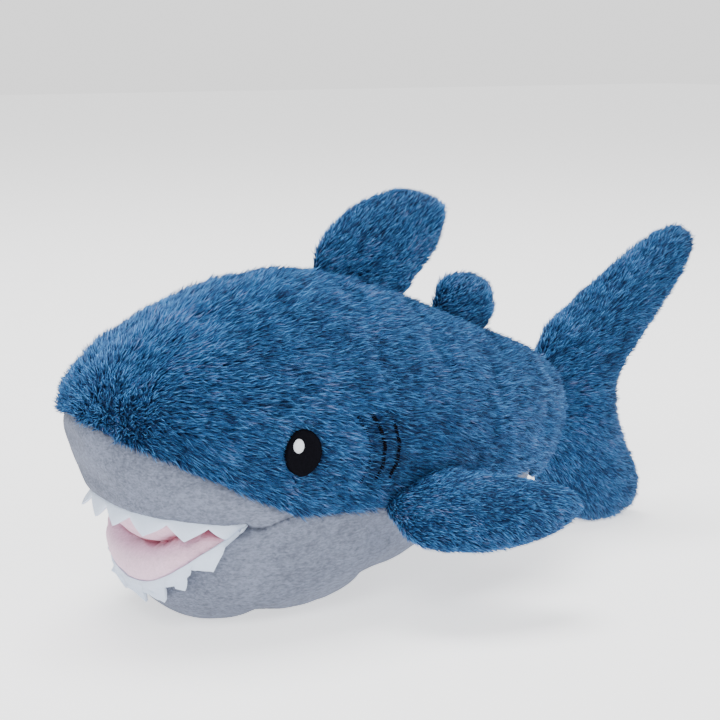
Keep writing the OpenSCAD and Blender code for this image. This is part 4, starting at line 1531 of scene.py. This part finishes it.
class PLUSH_OT_studio(bpy.types.Operator):
    """Sets up the floor, the light and the camera"""
    bl_idname = "plush.studio"
    bl_label = "Studio"

    def execute(self, context):
        scene = context.scene
        half = FLOOR_HALF
        corners = [(-half, -half, 0), (half, -half, 0), (half, half, 0), (-half, half, 0)]
        floor = new_object("floor", mesh_from("floor", corners, [(0, 1, 2, 3)]))
        floor.data.materials.append(finish_of("floor"))
        world = scene.world or bpy.data.worlds.new("Studio")
        scene.world = world
        world.use_nodes = True
        sky = Nodes(world.node_tree)
        seen = sky.wire("ShaderNodeLightPath", None, None, "Is Camera Ray")
        light = sky.wire("ShaderNodeBackground", None,
                         {"Color": (1, 1, 1, 1), "Strength": SKY_STRENGTH + SEEN_SKY_STRENGTH * seen})
        sky.add("ShaderNodeOutputWorld", None, {"Surface": light})
        target = Vector((-8.8, -20.75, 85.7)) * MM
        for name, spot, power, width in (
                ("Key light", (1.1, -1.0, 1.4), 23, 0.9),
                ("Fill light", (1.5, 0.9, 0.9), 8, 1.2),
                ("Top light", (-0.3, 0.0, 1.8), 40, 0.9)):
            lamp = bpy.data.lights.new(name, "AREA")
            lamp.energy = power
            lamp.size = width
            holder = bpy.data.objects.new(name, lamp)
            scene.collection.objects.link(holder)
            holder.location = spot
            holder.rotation_euler = (target - Vector(spot)).to_track_quat("-Z", "Y").to_euler()
        azimuth, elevation = math.radians(CAMERA_AZIMUTH), math.radians(CAMERA_ELEVATION)
        away = Vector((math.cos(elevation) * math.sin(azimuth),
                       -math.cos(elevation) * math.cos(azimuth), math.sin(elevation)))
        lens = bpy.data.cameras.new("Camera")
        lens.lens = 75
        lens.sensor_width = 36
        camera = bpy.data.objects.new("Camera", lens)
        scene.collection.objects.link(camera)
        camera.location = target + away * CAMERA_DISTANCE
        camera.rotation_euler = (-away).to_track_quat("-Z", "Y").to_euler()
        scene.camera = camera
        return {"FINISHED"}


# ---- settings and panel


class PlushSharkSettings(bpy.types.PropertyGroup):
    """Sizes and colours of the shark"""
    pile_length: FloatProperty(name="Pile length", description="Length of the long pile",
                               default=5.6 * MM, subtype="DISTANCE", unit="LENGTH")
    strand_width: FloatProperty(name="Strand width", description="Width of a lock of pile",
                                default=0.42 * MM, subtype="DISTANCE", unit="LENGTH")
    lock_density: FloatProperty(name="Locks", description="Bent locks per square metre",
                                default=1.2e6)
    hair_density: FloatProperty(name="Hairs", description="Fine hairs per square metre",
                                default=2.9e6)
    pile_lift: FloatProperty(name="Lift", description="How far the pile stands up", default=0.62)
    pile_ruffle: FloatProperty(name="Ruffle", description="How unevenly the pile lies",
                               default=1.1)
    pile_stray: FloatProperty(name="Stray", description="How far single hairs stray",
                              default=0.3)
    pile_bend: FloatProperty(name="Bend", description="How far the tips bend down",
                             default=0.16)
    seam_depth: FloatProperty(name="Seam depth", description="Depth of the seam grooves",
                              default=0.9 * MM, subtype="DISTANCE", unit="LENGTH")
    fold_depth: FloatProperty(name="Mouth fold", description="Extra depth of the mouth's fold",
                              default=4.0 * MM, subtype="DISTANCE", unit="LENGTH")
    tongue_swell: FloatProperty(name="Tongue", description="How far the tongue swells",
                                default=2.4 * MM, subtype="DISTANCE", unit="LENGTH")
    rear_border: FloatProperty(name="Rear border",
                               description="How far the blue reaches under the rear of the body",
                               default=14 * MM, subtype="DISTANCE", unit="LENGTH")
    cloth: FloatProperty(name="Cloth", description="Thickness of the plush's backing",
                         default=1.2 * MM, subtype="DISTANCE", unit="LENGTH")
    upper_teeth: IntProperty(name="Upper teeth", description="Teeth in the upper row", default=8)
    lower_teeth: IntProperty(name="Lower teeth", description="Teeth in the lower row", default=8)
    upper_tooth_length: FloatProperty(
        name="Upper tooth length", description="Length of the longest upper tooth",
        default=7.9 * MM, subtype="DISTANCE", unit="LENGTH")
    lower_tooth_length: FloatProperty(
        name="Lower tooth length", description="Length of the longest lower tooth",
        default=11.5 * MM, subtype="DISTANCE", unit="LENGTH")
    upper_tooth_band: FloatProperty(
        name="Upper band", description="Height of the felt between the upper teeth",
        default=2.2 * MM, subtype="DISTANCE", unit="LENGTH")
    lower_tooth_band: FloatProperty(
        name="Lower band", description="Height of the felt between the lower teeth",
        default=2.1 * MM, subtype="DISTANCE", unit="LENGTH")
    gill_width: FloatProperty(name="Gill width", description="Width of the gill stitching",
                              default=1.9 * MM, subtype="DISTANCE", unit="LENGTH")
    felt_thickness: FloatProperty(name="Felt", description="Thickness of the felt",
                                  default=1.1 * MM, subtype="DISTANCE", unit="LENGTH")
    eye_width: FloatProperty(name="Eye width", description="Width of an eye",
                             default=14.2 * MM, subtype="DISTANCE", unit="LENGTH")
    eye_height: FloatProperty(name="Eye height", description="Height of an eye",
                              default=17 * MM, subtype="DISTANCE", unit="LENGTH")
    spot_width: FloatProperty(name="Spot width", description="Width of an eye's light spot",
                              default=4.0 * MM, subtype="DISTANCE", unit="LENGTH")
    navy: FloatVectorProperty(name="Navy", description="Darkest strands", subtype="COLOR",
                              size=3, default=(0.003, 0.026, 0.105))
    middle_blue: FloatVectorProperty(name="Blue", description="Most of the strands",
                                     subtype="COLOR", size=3, default=(0.015, 0.118, 0.35))
    light_blue: FloatVectorProperty(name="Light blue", description="Lighter strands",
                                    subtype="COLOR", size=3, default=(0.09, 0.35, 0.78))
    lilac: FloatVectorProperty(name="Lilac", description="A few greyer strands",
                               subtype="COLOR", size=3, default=(0.25, 0.33, 0.66))
    grey: FloatVectorProperty(name="Grey", description="Short grey pile", subtype="COLOR",
                              size=3, default=(0.190, 0.215, 0.290))
    pink: FloatVectorProperty(name="Pink", description="Short pink pile", subtype="COLOR",
                              size=3, default=(0.86, 0.60, 0.75))
    # Painted shade colour for the pink pile in the mouth's fold and corners.
    pink_fold_shade: FloatVectorProperty(name="Deep pink", description="Pink pile in its folds",
                                   subtype="COLOR", size=3, default=(0.42, 0.12, 0.17))
    felt: FloatVectorProperty(name="Felt colour", description="Colour of the teeth",
                              subtype="COLOR", size=3, default=(0.70, 0.81, 1.0))


STEPS = (PLUSH_OT_body, PLUSH_OT_fins, PLUSH_OT_pile, PLUSH_OT_body_finish,
         PLUSH_OT_fins_finish, PLUSH_OT_teeth, PLUSH_OT_eyes, PLUSH_OT_stitches,
         PLUSH_OT_filling, PLUSH_OT_studio)


class PLUSH_PT_shark(bpy.types.Panel):
    """Lists the steps that make the shark"""
    bl_label = "Plush shark"
    bl_idname = "PLUSH_PT_shark"
    bl_space_type = "VIEW_3D"
    bl_region_type = "UI"
    bl_category = "Plush shark"

    def draw(self, context):
        for name in PlushSharkSettings.__annotations__:
            self.layout.prop(context.scene.plush_shark, name)
        for step in STEPS:
            self.layout.operator(step.bl_idname)


CLASSES = (PlushSharkSettings, *STEPS, PLUSH_PT_shark)


def register():
    for kind in CLASSES:
        bpy.utils.register_class(kind)
    bpy.types.Scene.plush_shark = PointerProperty(type=PlushSharkSettings)


def unregister():
    del bpy.types.Scene.plush_shark
    for kind in reversed(CLASSES):
        bpy.utils.unregister_class(kind)


def main():
    register()
    for step in STEPS:
        group, name = step.bl_idname.split(".")
        getattr(getattr(bpy.ops, group), name)()


if __name__ == "__main__":
    main()
